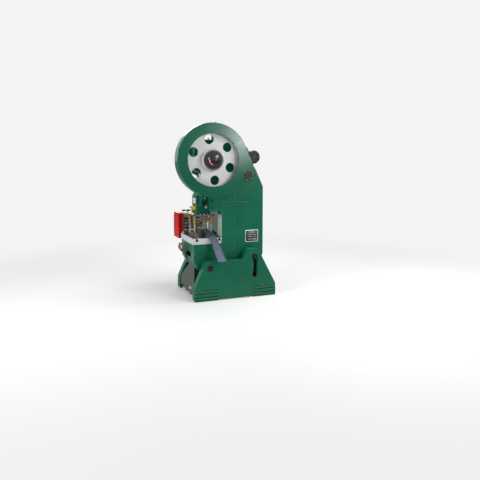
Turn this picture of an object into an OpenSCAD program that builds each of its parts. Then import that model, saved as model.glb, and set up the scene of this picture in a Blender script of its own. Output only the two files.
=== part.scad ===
// Open-back inclinable mechanical power press with a geared drive, a roll feeder and a die set.
// +Z is up, the press faces -Y and its gear guard is on +X. The origin lies on the floor, in the
// middle of the four anchor bolts. Modules draw in ram coordinates, where y = 0 is the ram's axis.

/* [Legs] */
// Length of a leg from front to back
leg_len = 1306; // [1280:1:1340]
// Distance from a leg's front edge back to the ram's axis
ram_from_front = 265; // [255:1:275]
// Gap between a leg and the body's side
side_gap = 43; // [41:1:45]
// Width of a leg's rim
leg_w = 120; // [110:1:122]
// Thickness of a leg's outer wall
leg_wall = 30; // [22:1:36]
// Height of the leg's long shoulder
leg_shoulder_z = 591; // [585:1:595]
// Height of the leg's rear lug
leg_lug_z = 752; // [745:1:760]
// Height of a foot block
foot_h = 178; // [160:1:190]
// Depth of the raised ribs on a foot block
foot_rib = 9; // [5:1:12]

/* [Frame] */
// Half of the space between the columns
throat_half = 176; // [175:1:178]
// Height of the bed's top face
bed_z = 836; // [830:1:842]
// Thickness of the bed
bed_t = 140; // [120:1:150]
// Height of the throat's roof
throat_z = 1332; // [1326:1:1338]
// Place of the throat's rear wall, behind the ram's axis
throat_y = 213; // [205:1:220]
// Height of the crown's top
crown_z = 2400; // [2390:1:2420]
// Place of the body's back face
back_y = 895; // [890:1:900]
// Height of the tilt pivot
pivot_z = 492; // [488:1:496]
// Place of the tilt pivot in front of the ram's axis
pivot_y = -20; // [-24:1:-16]
// Radius of the tilt pivot pin
pivot_r = 38; // [32:1:42]
// Radius from the pivot to the clamp bolts at the rear
clamp_radius = 730; // [725:1:735]
// Angle that the frame tilts back
tilt_deg = 23; // [20:1:24]

/* [Bolster and die] */
// Length of the bolster along the feed, which is also the body's width
bolster_len = 710; // [704:1:716]
// Depth of the bolster
bolster_depth = 480; // [470:1:484]
// Thickness of the bolster
bolster_t = 90; // [84:1:94]
// Width of a T-slot's neck
slot_neck = 22; // [18:1:24]
// Distance of a T-slot from the ram's axis
slot_y = 176; // [172:1:182]
// Thickness of the lower die shoe
shoe_t = 38; // [34:1:42]
// Height of the die block on its shoe
die_t = 80; // [76:1:82]
// Distance between a guide post and the middle, along the feed
post_x = 130; // [127:1:133]
// Radius of a guide post
post_r = 14; // [12:0.5:15]

/* [Ram] */
// Height of the ram's lower face at the top of its stroke
ram_z = 1266; // [1262:1:1270]
// Half of the ram's width
ram_half = 160; // [156:1:162]
// Stroke of the ram
stroke = 90; // [70:1:94]

/* [Drive] */
// Height of the crank's axis
crank_z = 2101; // [2095:1:2106]
// Radius of the crankshaft's main journals
journal_r = 62; // [56:1:66]
// Gear module
gear_m = 10; // [9.9:0.05:10.1]
// Teeth on the main gear
gear_teeth = 98; // [96:1:98]
// Teeth on the pinion
pinion_teeth = 18; // [17:1:19]
// Direction from the crank down to the pinion shaft
pinion_deg = -22.8; // [-24:0.1:-21.5]
// Face width of the gear
gear_w = 96; // [86:1:100]
// Place of the gear's inner face
gear_x = 508; // [506:1:512]
// Radius of the flywheel
flywheel_r = 300; // [280:1:304]
// Radius of the motor pulley
pulley_r = 62; // [56:1:66]
// Radius of the motor housing
motor_r = 104; // [98:1:108]

/* [Gear guard] */
// Outer radius of the guard
guard_r = 532; // [526:1:538]
// Radius of the guard's window
guard_window_r = 382; // [374:1:388]
// Place of the guard's outer face
guard_x = 648; // [644:1:652]
// Depth of the guard
guard_depth = 168; // [160:1:172]
// Sheet thickness of the guard
guard_sheet = 5; // [4:0.5:6]

/* [Feeder] */
// Height of the strip's path above the floor
feed_z = 1052; // [1050:1:1054]
// Radius of the feed rolls
roll_r = 50; // [46:1:52]
// Distance of the feed rolls from the ram's axis, along the feed
roll_x = 560; // [552:1:568]

/* [Hidden] */
$fn = 96;
// Radial clearance of a running fit, and the gap between faces that slide past each other
fit = 0.05;
gap = 0.3;

// The ram's axis in the part's frame, and the leg's ends in ram coordinates
ram_y = ram_from_front - leg_len / 2;
leg_front = -ram_from_front;
leg_rear = leg_len - ram_from_front;
body_half = bolster_len / 2;
leg_inner = body_half + side_gap;
leg_half = leg_inner + leg_w;
leg_rim = 40;
leg_base = leg_rim;
anchor_inset = 110;
anchor_r = 14;
anchor_x = leg_inner + 45;
front_foot_end = leg_front + 369;
rear_foot_start = leg_rear - 367;
leg_outline = [[leg_front, 0, 20], [leg_front, 195, 50], [-86, leg_shoulder_z, 70],
  [514, leg_shoulder_z, 30], [565, leg_lug_z, 50], [748, leg_lug_z, 60], [leg_rear, 190, 50],
  [leg_rear, 0, 20]];

// Body outline, from the low front corner round the throat and over the crown
bed_low = bed_z - bed_t;
body_low = 430;
body_front = -bolster_depth / 2 + 13;
jaw_front = 40;
crown_front = -200;
slope_low = [780, crown_z - 455];
slope_high = [500, crown_z];
body_outline = [[-150, body_low, 60], [body_front, 575, 80], [body_front, bed_z, 0],
  [throat_y, bed_z, 0], [throat_y, throat_z, 60], [jaw_front, throat_z, 12],
  [jaw_front, crown_z - 560, 40], [crown_front, crown_z - 450, 40], [crown_front, crown_z, 50],
  [slope_high[0], slope_high[1], 60], [slope_low[0], slope_low[1], 60], [back_y, crown_z - 710, 90],
  [back_y, 640, 60], [820, body_low, 90]];
cavity_low = crown_z - 600;
cavity_top = crown_z - 60;
cavity_back = 300;
panel_edge = 421;
panel_low = 690;
panel_t = 8;
boss_x = leg_inner - gap;
boss_r = 92;
clamp_rest_deg = 10.7;
clamp_at = [pivot_y + clamp_radius * cos(clamp_rest_deg), pivot_z + clamp_radius * sin(clamp_rest_deg)];
clamp_r = 24;
clamp_boss_r = 70;
slot_half = clamp_r + 5;
slot_recess_half = 45;
recess_t = 18;

// Die space, stacked from the bolster up and from the ram down
bolster_top = bed_z + bolster_t;
bolster_hole_r = 70;
slot_head = 2 * slot_neck;
slot_deep = 46;
shoe_half = post_x + 33;
shoe_front = -180;
shoe_back = 153;
shoe_top = bolster_top + shoe_t;
die_top = shoe_top + die_t;
die_half = 135;
upper_shoe_t = 28;
upper_shoe_low = ram_z - upper_shoe_t;
punch_plate_low = upper_shoe_low - 48;
stripper_low = punch_plate_low - 30;
bush_low = upper_shoe_low - 130;
bush_r = post_r + 10;
post_top = upper_shoe_low - 12;
post_rows = [shoe_front + 33, shoe_back - 33];
plate_y = [post_rows[0] + bush_r + 6, post_rows[1] - bush_r - 6];
plate_half = die_half + 10;
shank_r = 25;
shank_len = 70;

// Ram, its ways and the rod
crank_r = stroke / 2;
ram_front = -115;
slide_front = -62;
ram_back = 112;
nose_half = 112;
nose_top = ram_z + 127;
block_top = ram_z + 295;
ram_top = ram_z + 520;
way_deep = 34;
way_y = 12;
gib_out = 240;
gib_top = ram_top + 26;
seat_z = ram_z + 250;
ball_r = 42;
pin_z = crank_z + crank_r;
crankpin_r = 58;
rod_w = 150;
cheek_r = 118;
knock_half = gib_out + 30;

// Gear train
gear_r = gear_m * gear_teeth / 2;
pinion_pitch_r = gear_m * pinion_teeth / 2;
centre_dist = gear_r + pinion_pitch_r;
shaft_y = centre_dist * cos(pinion_deg);
shaft_z = crank_z + centre_dist * sin(pinion_deg);
shaft_r = 36;
bush_wall = 14;
shaft_bush_wall = 10;
gear_back_x = gear_x + gear_w;
web_t = 30;
web_x = gear_back_x - 34 - web_t;
rim_in_r = gear_r - 52;
hub_r = 130;
hub_x = body_half + 24;
hub_end = guard_x - 6;
gear_bush_wall = 12;
hole_ring_r = 298;
hole_r = 70;
hole_turn = 98;
fly_x = -body_half - 25;
fly_w = 104;
slope_angle = atan2(slope_high[1] - slope_low[1], slope_high[0] - slope_low[0]);
motor_up = 140;
motor_plate_gap = 30;
motor_plate_t = 14;
motor_foot = motor_r + 10;
motor_out = motor_plate_gap + motor_plate_t + motor_foot;
motor_y = slope_low[0] + motor_up * cos(slope_angle) + motor_out * sin(slope_angle);
motor_z = slope_low[1] + motor_up * sin(slope_angle) - motor_out * cos(slope_angle);
motor_x0 = -330;
motor_x1 = 40;
motor_shaft_r = 19;
belt_count = 4;
belt_pitch = 22;
belt_x = fly_x - fly_w / 2;
belt_t = 10;
groove = 11;

// Guard outline
tail_r = 128;
tail_y = shaft_y + 12;
tail_z = shaft_z - 6;
guard_back_x = guard_x - guard_depth;

// Feeder
feeder_x0 = -roll_x - 130;
feeder_x1 = -roll_x + 130;
cover_t = 68;
cheek_y = 170;
cheek_t = 30;
cover_front = -cheek_y - cheek_t - cover_t;

green = "seagreen";
steel = "silver";
dark = "dimgray";

// The rounding of one corner: an arc of radius b[2] that touches both edges at b
function unit(v) = v / norm(v);
function corner(a, b, c) =
  let(u = unit([a[0] - b[0], a[1] - b[1]]), v = unit([c[0] - b[0], c[1] - b[1]]),
      half = acos(max(-1, min(1, u * v))) / 2,
      reach = b[2] / tan(half),
      centre = [b[0], b[1]] + unit(u + v) * b[2] / sin(half),
      p = [b[0], b[1]] + u * reach - centre,
      q = [b[0], b[1]] + v * reach - centre,
      start = atan2(p[1], p[0]),
      turn = atan2(p[0] * q[1] - p[1] * q[0], p * q))
  b[2] == 0 ? [[b[0], b[1]]]
            : [for (i = [0:6]) centre + b[2] * [cos(start + turn * i / 6), sin(start + turn * i / 6)]];

// An outline whose corners [y, z, radius] are rounded
function rounded(p) =
  [for (i = [0:len(p) - 1]) each corner(p[(i + len(p) - 1) % len(p)], p[i], p[(i + 1) % len(p)])];

// The outline moved inwards by d, for one that runs clockwise from the low front corner
function inward(p, d) =
  [for (i = [0:len(p) - 1])
    let(a = p[(i + len(p) - 1) % len(p)], b = p[i], c = p[(i + 1) % len(p)],
        u = unit([b[0] - a[0], b[1] - a[1]]), v = unit([c[0] - b[0], c[1] - b[1]]),
        n = [u[1], -u[0]], m = [v[1], -v[0]],
        s = unit(n + m))
    concat([b[0], b[1]] + s * d / (s * n), [max(b[2] - d, 8)])];

// A profile in Y and Z carried along X, one in X and Z carried along Y, and round bars
module along_x(x0, x1) translate([x0, 0, 0]) rotate([90, 0, 90]) linear_extrude(x1 - x0) children();
module along_y(y0, y1) translate([0, y1, 0]) rotate([90, 0, 0]) linear_extrude(y1 - y0) children();
module bar_x(x0, x1, r, y, z) translate([x0, y, z]) rotate([0, 90, 0]) cylinder(r = r, h = x1 - x0);
module bar_y(y0, y1, r, x, z) translate([x, y0, z]) rotate([-90, 0, 0]) cylinder(r = r, h = y1 - y0);
module bar_z(z0, z1, r, x, y) translate([x, y, z0]) cylinder(r = r, h = z1 - z0);
module block(x, y, z) translate([x[0], y[0], z[0]]) cube([x[1] - x[0], y[1] - y[0], z[1] - z[0]]);
module at_ram() translate([0, ram_y, 0]) children();
module both_sides() { children(); mirror([1, 0, 0]) children(); }
module hex_x(x0, x1, r, y, z) translate([x0, y, z]) rotate([0, 90, 0]) cylinder(r = r, h = x1 - x0, $fn = 6);
module hex_y(y0, y1, r, x, z) translate([x, y0, z]) rotate([-90, 0, 0]) cylinder(r = r, h = y1 - y0, $fn = 6);
module hex_z(z0, z1, r, x, y) translate([x, y, z0]) cylinder(r = r, h = z1 - z0, $fn = 6);

// The outline of a bent sheet: the path p and a second line t beside it
function beside(p, t) =
  [for (i = [0:len(p) - 1])
    let(u = unit(i == 0 ? p[1] - p[0] : p[i] - p[i - 1]),
        v = unit(i == len(p) - 1 ? p[i] - p[i - 1] : p[i + 1] - p[i]),
        n = [-u[1], u[0]], s = unit(n + [-v[1], v[0]]))
    p[i] + s * t / (s * n)];
function bent(p, t) = concat(p, [for (i = [len(p) - 1:-1:0]) beside(p, t)[i]]);

// Two circles and the straight lines that touch both from outside
module loop_2d(a, ra, b, rb) {
  way = atan2(b[1] - a[1], b[0] - a[0]);
  lean = acos((ra - rb) / norm(b - a));
  up = [cos(way + lean), sin(way + lean)];
  down = [cos(way - lean), sin(way - lean)];
  translate(a) circle(r = ra, $fn = 180);
  translate(b) circle(r = rb);
  polygon([a + ra * up, b + rb * up, b + rb * down, a + ra * down]);
}

// The slot in a leg that the clamp bolt sweeps as the body tilts about its pivot
function heading(a) = [cos(a), sin(a)];
module tilt_slot_2d(half) {
  high = clamp_rest_deg;
  low = high - tilt_deg;
  sweep = [for (i = [0:8]) low + tilt_deg * i / 8];
  translate([pivot_y, pivot_z]) polygon(concat(
    [for (a = sweep) (clamp_radius + half) * heading(a)],
    [for (i = [1:9]) clamp_radius * heading(high) + half * heading(high + 18 * i)],
    [for (i = [8:-1:0]) (clamp_radius - half) * heading(sweep[i])],
    [for (i = [1:9]) clamp_radius * heading(low) + half * heading(low + 180 + 18 * i)]));
}

// Stepped ribs on the outer face of a foot block
module foot_ribs(y0, y1) {
  rib = foot_h * 0.2;
  for (level = [[0, foot_h, foot_rib * 0.4], [foot_h * 0.1, rib, foot_rib],
      [foot_h * 0.4, rib, foot_rib], [foot_h * 0.7, rib, foot_rib]])
    along_x(leg_half - 2, leg_half + level[2]) intersection() {
      polygon(rounded(leg_outline));
      translate([y0, level[0]]) square([y1 - y0, level[1]]);
    }
}

module leg_casting() {
  difference() {
    union() {
      along_x(leg_inner, leg_half) polygon(rounded(leg_outline));
      foot_ribs(leg_front, front_foot_end);
      foot_ribs(rear_foot_start, leg_rear);
    }
    along_x(leg_inner - 1, leg_half - leg_wall) difference() {
      polygon(rounded(inward(leg_outline, leg_rim)));
      translate([pivot_y, pivot_z]) circle(r = boss_r + 8);
      tilt_slot_2d(slot_recess_half + 18);
      translate([330, 0]) square([leg_wall, leg_lug_z]);
    }
    bar_x(leg_inner - 1, leg_half + 1, pivot_r + fit, pivot_y, pivot_z);
    bar_x(leg_half - recess_t, leg_half + 1, pivot_r + 14, pivot_y, pivot_z);
    along_x(leg_inner - 1, leg_half + 1) tilt_slot_2d(slot_half);
    along_x(leg_half - recess_t, leg_half + 1) tilt_slot_2d(slot_recess_half);
    block([leg_inner - 1, leg_half + 1], [front_foot_end, rear_foot_start], [-1, 16]);
    for (y = [leg_front + anchor_inset, leg_rear - anchor_inset])
      bar_z(-1, leg_base + 1, anchor_r, anchor_x, y);
  }
}
module leg_right() color(green) at_ram() leg_casting();
module leg_left() color(green) at_ram() mirror([1, 0, 0]) leg_casting();

// Tie rods join the two legs, seated on their walls
tie_x = leg_half - leg_wall;
module tie_rods() color(green) at_ram() {
  for (y = [60, 960]) {
    bar_x(-tie_x, tie_x, 24, y, 112);
    for (x = [-tie_x, tie_x - 14]) bar_x(x, x + 14, 38, y, 112);
  }
  // Plate that closes the rear between the legs
  block([-leg_inner, leg_inner], [936, 944], [100, 340]);
}

// Chute for punched-out pieces: a slide between two cheeks, behind a front sheet that widens below
// the body until it meets the legs
chute_half = throat_half - 8;
slide_path = [[120, 566], [-64, 424]];
front_path = [[-212, 604], [-163, 462], [-250, 200], [-250, 94]];
module scrap_chute() color("lightgray") at_ram() {
  along_x(-chute_half, chute_half) polygon(bent(slide_path, 4));
  both_sides() along_x(chute_half - 4, chute_half) polygon([[118, 562], [118, 606], [-210, 603],
    [-161, 462], [-130, 384], [-64, 422]]);
  intersection() {
    along_x(-leg_inner, leg_inner) polygon(bent(front_path, 4));
    along_y(-300, -100) polygon([[-chute_half, 610], [chute_half, 610], [chute_half, 440],
      [leg_inner, 220], [leg_inner, 90], [-leg_inner, 90], [-leg_inner, 220], [-chute_half, 440]]);
  }
}

// Pedal below the chute
pedal_y = -120;
pedal_z = 60;
pedal_shaft_r = 14;
pedal_reach = 128;
pedal_hub_x = 190;
module pedal_shaft() color(steel) at_ram() {
  bar_x(-tie_x, tie_x, pedal_shaft_r, pedal_y, pedal_z);
  both_sides() bar_x(pedal_hub_x + 32, pedal_hub_x + 44, pedal_shaft_r + 9, pedal_y, pedal_z);
}
module pedal() color(steel) at_ram() {
  tip = pedal_y - pedal_reach;
  both_sides() difference() {
    union() {
      bar_x(pedal_hub_x, pedal_hub_x + 30, pedal_shaft_r + 10, pedal_y, pedal_z);
      block([pedal_hub_x + 8, pedal_hub_x + 20], [tip, pedal_y], [pedal_z - 10, pedal_z + 14]);
    }
    bar_x(pedal_hub_x - 1, pedal_hub_x + 31, pedal_shaft_r + fit, pedal_y, pedal_z);
  }
  bar_x(-pedal_hub_x - 20, pedal_hub_x + 20, 13, tip, pedal_z + 2);
  block([-90, 90], [tip - 40, tip + 30], [pedal_z + 8, pedal_z + 16]);
}

module body_slice(x0, x1, y0, y1, z0, z1) along_x(x0, x1) intersection() {
  polygon(rounded(body_outline));
  translate([y0, z0]) square([y1 - y0, z1 - z0]);
}
module frame_body() color(green) at_ram() difference() {
  union() {
    along_x(-body_half, body_half) polygon(rounded(body_outline));
    both_sides() {
      body_slice(body_half - 1, body_half + panel_t, -300, panel_edge, panel_low, 1790);
      body_slice(body_half - 1, body_half + panel_t + 6, throat_y, 650, 1405, 1468);
      bar_x(body_half - 1, boss_x, boss_r, pivot_y, pivot_z);
      bar_x(body_half - 1, boss_x, clamp_boss_r, clamp_at[0], clamp_at[1]);
      bar_x(body_half - 1, hub_x - 2, journal_r + 40, 0, crank_z);
    }
  }
  // The open space between the columns, from front to back
  block([-throat_half, throat_half], [-400, 1000], [bed_z, cavity_low]);
  block([-throat_half, throat_half], [-400, cavity_back], [cavity_low - 1, cavity_top]);
  difference() {
    block([-throat_half, throat_half], [-400, 1000], [body_low - 1, bed_low]);
    block([-throat_half - 1, throat_half + 1], [640, 740], [540, bed_low + 1]);
  }
  block([-throat_half, throat_half], [640, 1000], [bed_low - 1, bed_z + 1]);
  bar_z(bed_low - 1, bed_z + 1, bolster_hole_r + 14, 0, 0);
  // Bores for the bushes of the crankshaft and of the drive shaft, and for the pins
  bar_x(-600, 600, journal_r + bush_wall, 0, crank_z);
  bar_x(-600, 600, shaft_r + shaft_bush_wall, shaft_y, shaft_z);
  both_sides() bar_x(leg_inner - 150, leg_inner + 1, pivot_r + fit, pivot_y, pivot_z);
  both_sides() bar_x(leg_inner - 150, leg_inner + 1, clamp_r + fit, clamp_at[0], clamp_at[1]);
}

module pivot_pins() color(dark) at_ram() both_sides() difference() {
  bar_x(leg_inner - 149, leg_half - 6, pivot_r, pivot_y, pivot_z);
  bar_x(leg_half - 16, leg_half, 9, pivot_y, pivot_z);
}

// Bolts that clamp the tilted body to the legs
module clamp_bolts() color(dark) at_ram() both_sides() {
  head = leg_half - recess_t + gap;
  bar_x(leg_inner - 149, head + 4, clamp_r, clamp_at[0], clamp_at[1]);
  bar_x(head, head + 8, slot_recess_half - 4, clamp_at[0], clamp_at[1]);
  hex_x(head + 8, head + 34, clamp_r * 1.5, clamp_at[0], clamp_at[1]);
}

// Bolster plate with T-slots that open in its side faces
module bolster() color("whitesmoke") at_ram() difference() {
  block([-bolster_len / 2, bolster_len / 2], [-bolster_depth / 2, bolster_depth / 2], [bed_z, bolster_top]);
  for (y = [-slot_y, slot_y]) {
    block([-400, 400], [y - slot_neck / 2, y + slot_neck / 2], [bolster_top - slot_deep, bolster_top + 1]);
    block([-400, 400], [y - slot_head / 2, y + slot_head / 2],
      [bolster_top - slot_deep, bolster_top - slot_deep + slot_neck]);
  }
  bar_z(bed_z - 1, bolster_top + 1, bolster_hole_r, 0, 0);
  // Notch that clears the throat's rear wall
  both_sides() block([throat_half, 400], [throat_y, 300], [bed_z - 1, bolster_top + 1]);
}

module crank_cover() color(green) at_ram() {
  low = crown_z - 450;
  outline = [[crown_front, low, 0], [crown_front - 70, low + 40, 30], [crown_front - 70, crown_z - 190, 40],
    [crown_front, crown_z - 70, 0]];
  difference() {
    along_x(-throat_half - 22, throat_half + 22) polygon(rounded(outline));
    along_x(-throat_half - 16, throat_half + 16) polygon([[crown_front + 1, low + 4],
      [crown_front - 64, low + 44], [crown_front - 64, crown_z - 196], [crown_front + 1, crown_z - 80]]);
  }
  bar_y(crown_front - 88, crown_front - 69, 34, 0, crank_z + 10);
  bar_y(crown_front - 96, crown_front - 87, 16, 0, crank_z + 10);
}

// Bronze bushes of the crankshaft and of the drive shaft, in the two side walls
module bush_ring(x0, x1, inner, outer, y, z) difference() {
  bar_x(x0, x1, outer, y, z);
  bar_x(x0 - 1, x1 + 1, inner, y, z);
}
module bearing_bushes() color("goldenrod") at_ram() both_sides() {
  bush_ring(throat_half + 1, hub_x - 1, journal_r + fit, journal_r + bush_wall - fit, 0, crank_z);
  bush_ring(throat_half + 50, body_half - 1, shaft_r + fit, shaft_r + shaft_bush_wall - fit,
    shaft_y, shaft_z);
}

// Guard of the gear and its pinion: a rim, an outer face with a window, and the arms that carry it
module guard_2d(inset) loop_2d([0, crank_z], guard_r - inset, [tail_y, tail_z], tail_r - inset);
guard_edge = 10;
module gear_guard() color(green) at_ram() {
  difference() {
    union() {
      along_x(guard_back_x, guard_x - guard_edge) guard_2d(0);
      for (i = [1:4])
        along_x(guard_x - guard_edge - 1, guard_x - guard_edge + guard_edge * sin(i * 22.5))
          guard_2d(guard_edge * (1 - cos(i * 22.5)) + 0.01 * i);
    }
    along_x(guard_back_x - 1, guard_x - guard_sheet) guard_2d(guard_sheet + 6);
    along_x(guard_back_x - 1, guard_x - guard_edge - 2) guard_2d(guard_sheet);
    bar_x(guard_x - 20, guard_x + 1, guard_window_r, 0, crank_z);
    bar_x(guard_x - 20, guard_x + 1, shaft_r + 30, shaft_y, shaft_z);
  }
  // Rolled rim round the window
  translate([guard_x - guard_sheet / 2, 0, crank_z]) rotate([0, 90, 0])
    rotate_extrude($fn = 180) translate([guard_window_r + 3, 0]) circle(r = 4, $fn = 16);
  // Arms from the body's side to the rim, below the gear, below the pinion and above the crown
  arm = 16;
  low_arm = [(guard_r - arm) * cos(-84), crank_z + (guard_r - arm) * sin(-84)];
  tail_arm = [tail_y + (tail_r - arm) * cos(-60), tail_z + (tail_r - arm) * sin(-60)];
  arm_end = guard_back_x + 30;
  for (at = [concat([body_half + panel_t], low_arm), concat([body_half], tail_arm)]) {
    bar_x(at[0], arm_end, 11, at[1], at[2]);
    block([guard_back_x + 4, arm_end], [at[1] - 12, at[1] + 12], [at[2] - 14, at[2]]);
  }
  rim_z = crank_z + guard_r - guard_sheet;
  block([body_half, body_half + 12], [60, 120], [crown_z - 110, rim_z - 12]);
  block([body_half, arm_end], [60, 120], [rim_z - 24, rim_z - 12]);
  block([guard_back_x + 10, arm_end], [60, 120], [rim_z - 14, rim_z - 2]);
  // Stud on top of the rim
  bar_z(crank_z + guard_r - 8, crank_z + guard_r + 14, 9, guard_x - 84, 60);
}
module guard_cap() color(dark) at_ram() {
  bar_x(guard_x, guard_x + 8, shaft_r + 34, shaft_y, shaft_z);
  bar_x(guard_x + 7, guard_x + 14, shaft_r + 18, shaft_y, shaft_z);
}

// Guard of the flywheel and the belts on the far side
belt_guard_x = fly_x - fly_w - 30;
module belt_guard_2d(inset)
  loop_2d([shaft_y, shaft_z], flywheel_r + 36 - inset, [motor_y, motor_z], pulley_r + 46 - inset);
module belt_guard() color(green) at_ram() difference() {
  union() {
    difference() {
      along_x(belt_guard_x, fly_x + 6) belt_guard_2d(0);
      along_x(belt_guard_x + 4, fly_x + 7) belt_guard_2d(4);
      bar_x(belt_guard_x - 1, belt_guard_x + 5, flywheel_r - 90, shaft_y, shaft_z);
    }
    // Lugs on the body's side
    for (a = [150, 262]) block([fly_x, 1 - body_half],
      [shaft_y + (flywheel_r + 24) * cos(a) - 14, shaft_y + (flywheel_r + 24) * cos(a) + 14],
      [shaft_z + (flywheel_r + 24) * sin(a) - 14, shaft_z + (flywheel_r + 24) * sin(a) + 14]);
    // Spider of the round window
    for (a = [0, 60, 120]) translate([belt_guard_x, shaft_y, shaft_z]) rotate([a, 0, 0])
      translate([0, -flywheel_r + 80, -11]) cube([4, 2 * flywheel_r - 160, 22]);
    bar_x(belt_guard_x, belt_guard_x + 4, 52, shaft_y, shaft_z);
  }
  block([-body_half, 0], [-900, 1200], [1000, 3000]);
}

// Places on the sloped back of the crown: local +Y runs down the slope and +Z leaves it
module on_slope() translate([0, slope_low[0], slope_low[1]]) rotate([slope_angle - 180, 0, 0]) children();
module motor_plate() color(green) at_ram() on_slope() {
  block([motor_x0 - 10, motor_x1 + 90], [-motor_up - 150, -motor_up + 130],
    [motor_plate_gap, motor_plate_gap + motor_plate_t]);
  for (x = [motor_x0 + 30, motor_x1 + 40], y = [-motor_up - 120, -motor_up + 96])
    bar_z(0, motor_plate_gap + 1, 16, x, y);
}
module motor_housing() color(dark) at_ram() {
  fins = 28;
  difference() {
    union() {
      bar_x(motor_x0, motor_x1, motor_r - 12, motor_y, motor_z);
      bar_x(motor_x0, motor_x0 + 22, motor_r, motor_y, motor_z);
      bar_x(motor_x0 - 16, motor_x0 + 1, motor_r - 44, motor_y, motor_z);
      bar_x(motor_x1 - 16, motor_x1, motor_r, motor_y, motor_z);
      for (i = [0:fins - 1]) translate([motor_x0 + 10, motor_y, motor_z]) rotate([i * 360 / fins, 0, 0])
        translate([0, motor_r - 15, -1.6]) cube([motor_x1 - motor_x0 - 20, 14, 3.2]);
    }
    bar_x(motor_x0 - 17, motor_x0 + 40, motor_shaft_r + 3, motor_y, motor_z);
  }
  on_slope() for (x = [motor_x0 + 40, motor_x1 - 90], s = [-1, 1])
    block([x, x + 50], [-motor_up + s * 78 - 26, -motor_up + s * 78 + 26],
      [motor_plate_gap + motor_plate_t, motor_plate_gap + motor_plate_t + 52]);
}
module motor_fan_cover() color(dark) at_ram() difference() {
  union() {
    bar_x(motor_x1, motor_x1 + 62, motor_r + 3, motor_y, motor_z);
    translate([motor_x1 + 62, motor_y, motor_z]) rotate([0, 90, 0])
      cylinder(r1 = motor_r + 3, r2 = motor_r - 16, h = 20);
  }
  bar_x(motor_x1 - 1, motor_x1 + 60, motor_r - 1, motor_y, motor_z);
  for (r = [26, 44, 62, 80]) difference() {
    bar_x(motor_x1 + 50, motor_x1 + 90, r + 9, motor_y, motor_z);
    bar_x(motor_x1 + 49, motor_x1 + 91, r, motor_y, motor_z);
    for (a = [0, 60, 120]) translate([motor_x1 + 45, motor_y, motor_z]) rotate([a, 0, 0])
      translate([0, -120, -5]) cube([60, 240, 10]);
  }
}
module terminal_box() color(dark) at_ram() translate([0, motor_y, motor_z]) rotate([40, 0, 0]) {
  block([-170, -50], [-55, 55], [motor_r + 0.5, motor_r + 52]);
  block([-176, -44], [-61, 61], [motor_r + 52, motor_r + 60]);
  bar_x(-51, -22, 13, 0, motor_r + 26);
}

module belt_2d(out)
  loop_2d([shaft_y, shaft_z], flywheel_r - groove + out, [motor_y, motor_z], pulley_r - groove + out);
module drive_belts() color("black") at_ram() for (i = [0:belt_count - 1]) {
  x = belt_x + (i - (belt_count - 1) / 2) * belt_pitch;
  along_x(x - 6, x + 6) difference() {
    belt_2d(gap + belt_t);
    belt_2d(gap);
  }
}

// Gibs: the V-shaped ways of the ram, bolted to the columns' front faces
module way_2d(clear) translate([clear, 0]) polygon([[ram_half, way_y - 32], [ram_half, way_y + 32],
  [ram_half - way_deep, way_y + 2], [ram_half - way_deep, way_y - 2]]);
gib_foot = ram_z + 224;
module gib() {
  translate([0, 0, gib_foot]) linear_extrude(gib_top - gib_foot) union() {
    translate([ram_half + gap, -60]) square([gib_out - ram_half - gap, jaw_front + 60]);
    way_2d(gap);
  }
}
module gib_left() color(green) at_ram() mirror([1, 0, 0]) gib();
module gib_right() color(green) at_ram() gib();
module gib_screws() color(steel) at_ram() both_sides() for (z = [gib_foot + 40:90:gib_top - 20]) {
  bar_x(gib_out, gib_out + 22, 8, -18, z);
  hex_x(gib_out, gib_out + 9, 15, -18, z);
}
module knockout_stops() color(dark) at_ram() both_sides() {
  bar_z(knock_top + knock_travel + 2, gib_foot, 13, knock_half - 48, 0);
  hex_z(gib_foot - 16, gib_foot, 22, knock_half - 48, 0);
}

module brake_band() color(dark) at_ram() {
  x = -hub_x;
  difference() {
    bar_x(x - 60, x - 6, drum_r + 11, 0, crank_z);
    bar_x(x - 61, x - 5, drum_r + gap, 0, crank_z);
    block([x - 70, x + 1], [-12, 12], [crank_z, crank_z + drum_r + 40]);
  }
  for (y = [-24, 12]) block([x - 56, x - 12], [y, y + 12], [crank_z + drum_r + 2, crank_z + drum_r + 46]);
  bar_y(-62, 40, 6, x - 34, crank_z + drum_r + 32);
  bar_y(-58, -25, 12, x - 34, crank_z + drum_r + 32);
  block([x - 50, -body_half], [-drum_r - 34, -drum_r - 8], [crank_z - 24, crank_z + 24]);
}

// Die set: lower shoe with its clamps' feet, die block, posts, and the upper half on the ram
module shoe_2d(cut) difference() {
  translate([-shoe_half, shoe_front]) square([2 * shoe_half, shoe_back - shoe_front]);
  for (x = [-post_x, post_x], y = post_rows) translate([x, y]) circle(r = cut);
}
module die_shoe() color("rosybrown") at_ram() difference() {
  translate([0, 0, bolster_top]) linear_extrude(shoe_t) shoe_2d(post_r + fit);
  bar_z(bolster_top - 1, shoe_top + 1, 34, 0, 0);
}
module die_block() color("gray") at_ram() difference() {
  union() {
    block([-die_half, die_half], [-78, 78], [shoe_top, die_top - 22]);
    block([-die_half + 14, die_half - 14], [-62, 62], [die_top - 23, die_top]);
  }
  bar_z(shoe_top - 1, die_top + 1, 24, 0, 0);
  block([-die_half - 1, die_half + 1], [-32, 32], [die_top - 6, die_top + 1]);
  for (x = [-90, 90], y = [-44, 44]) bar_z(die_top - 14, die_top + 1, 9, x, y);
}
module guide_posts() color(steel) at_ram()
  for (x = [-post_x, post_x], y = post_rows) {
    bar_z(bolster_top, post_top, post_r, x, y);
    bar_z(shoe_top, shoe_top + 14, post_r + 7, x, y);
  }
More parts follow.
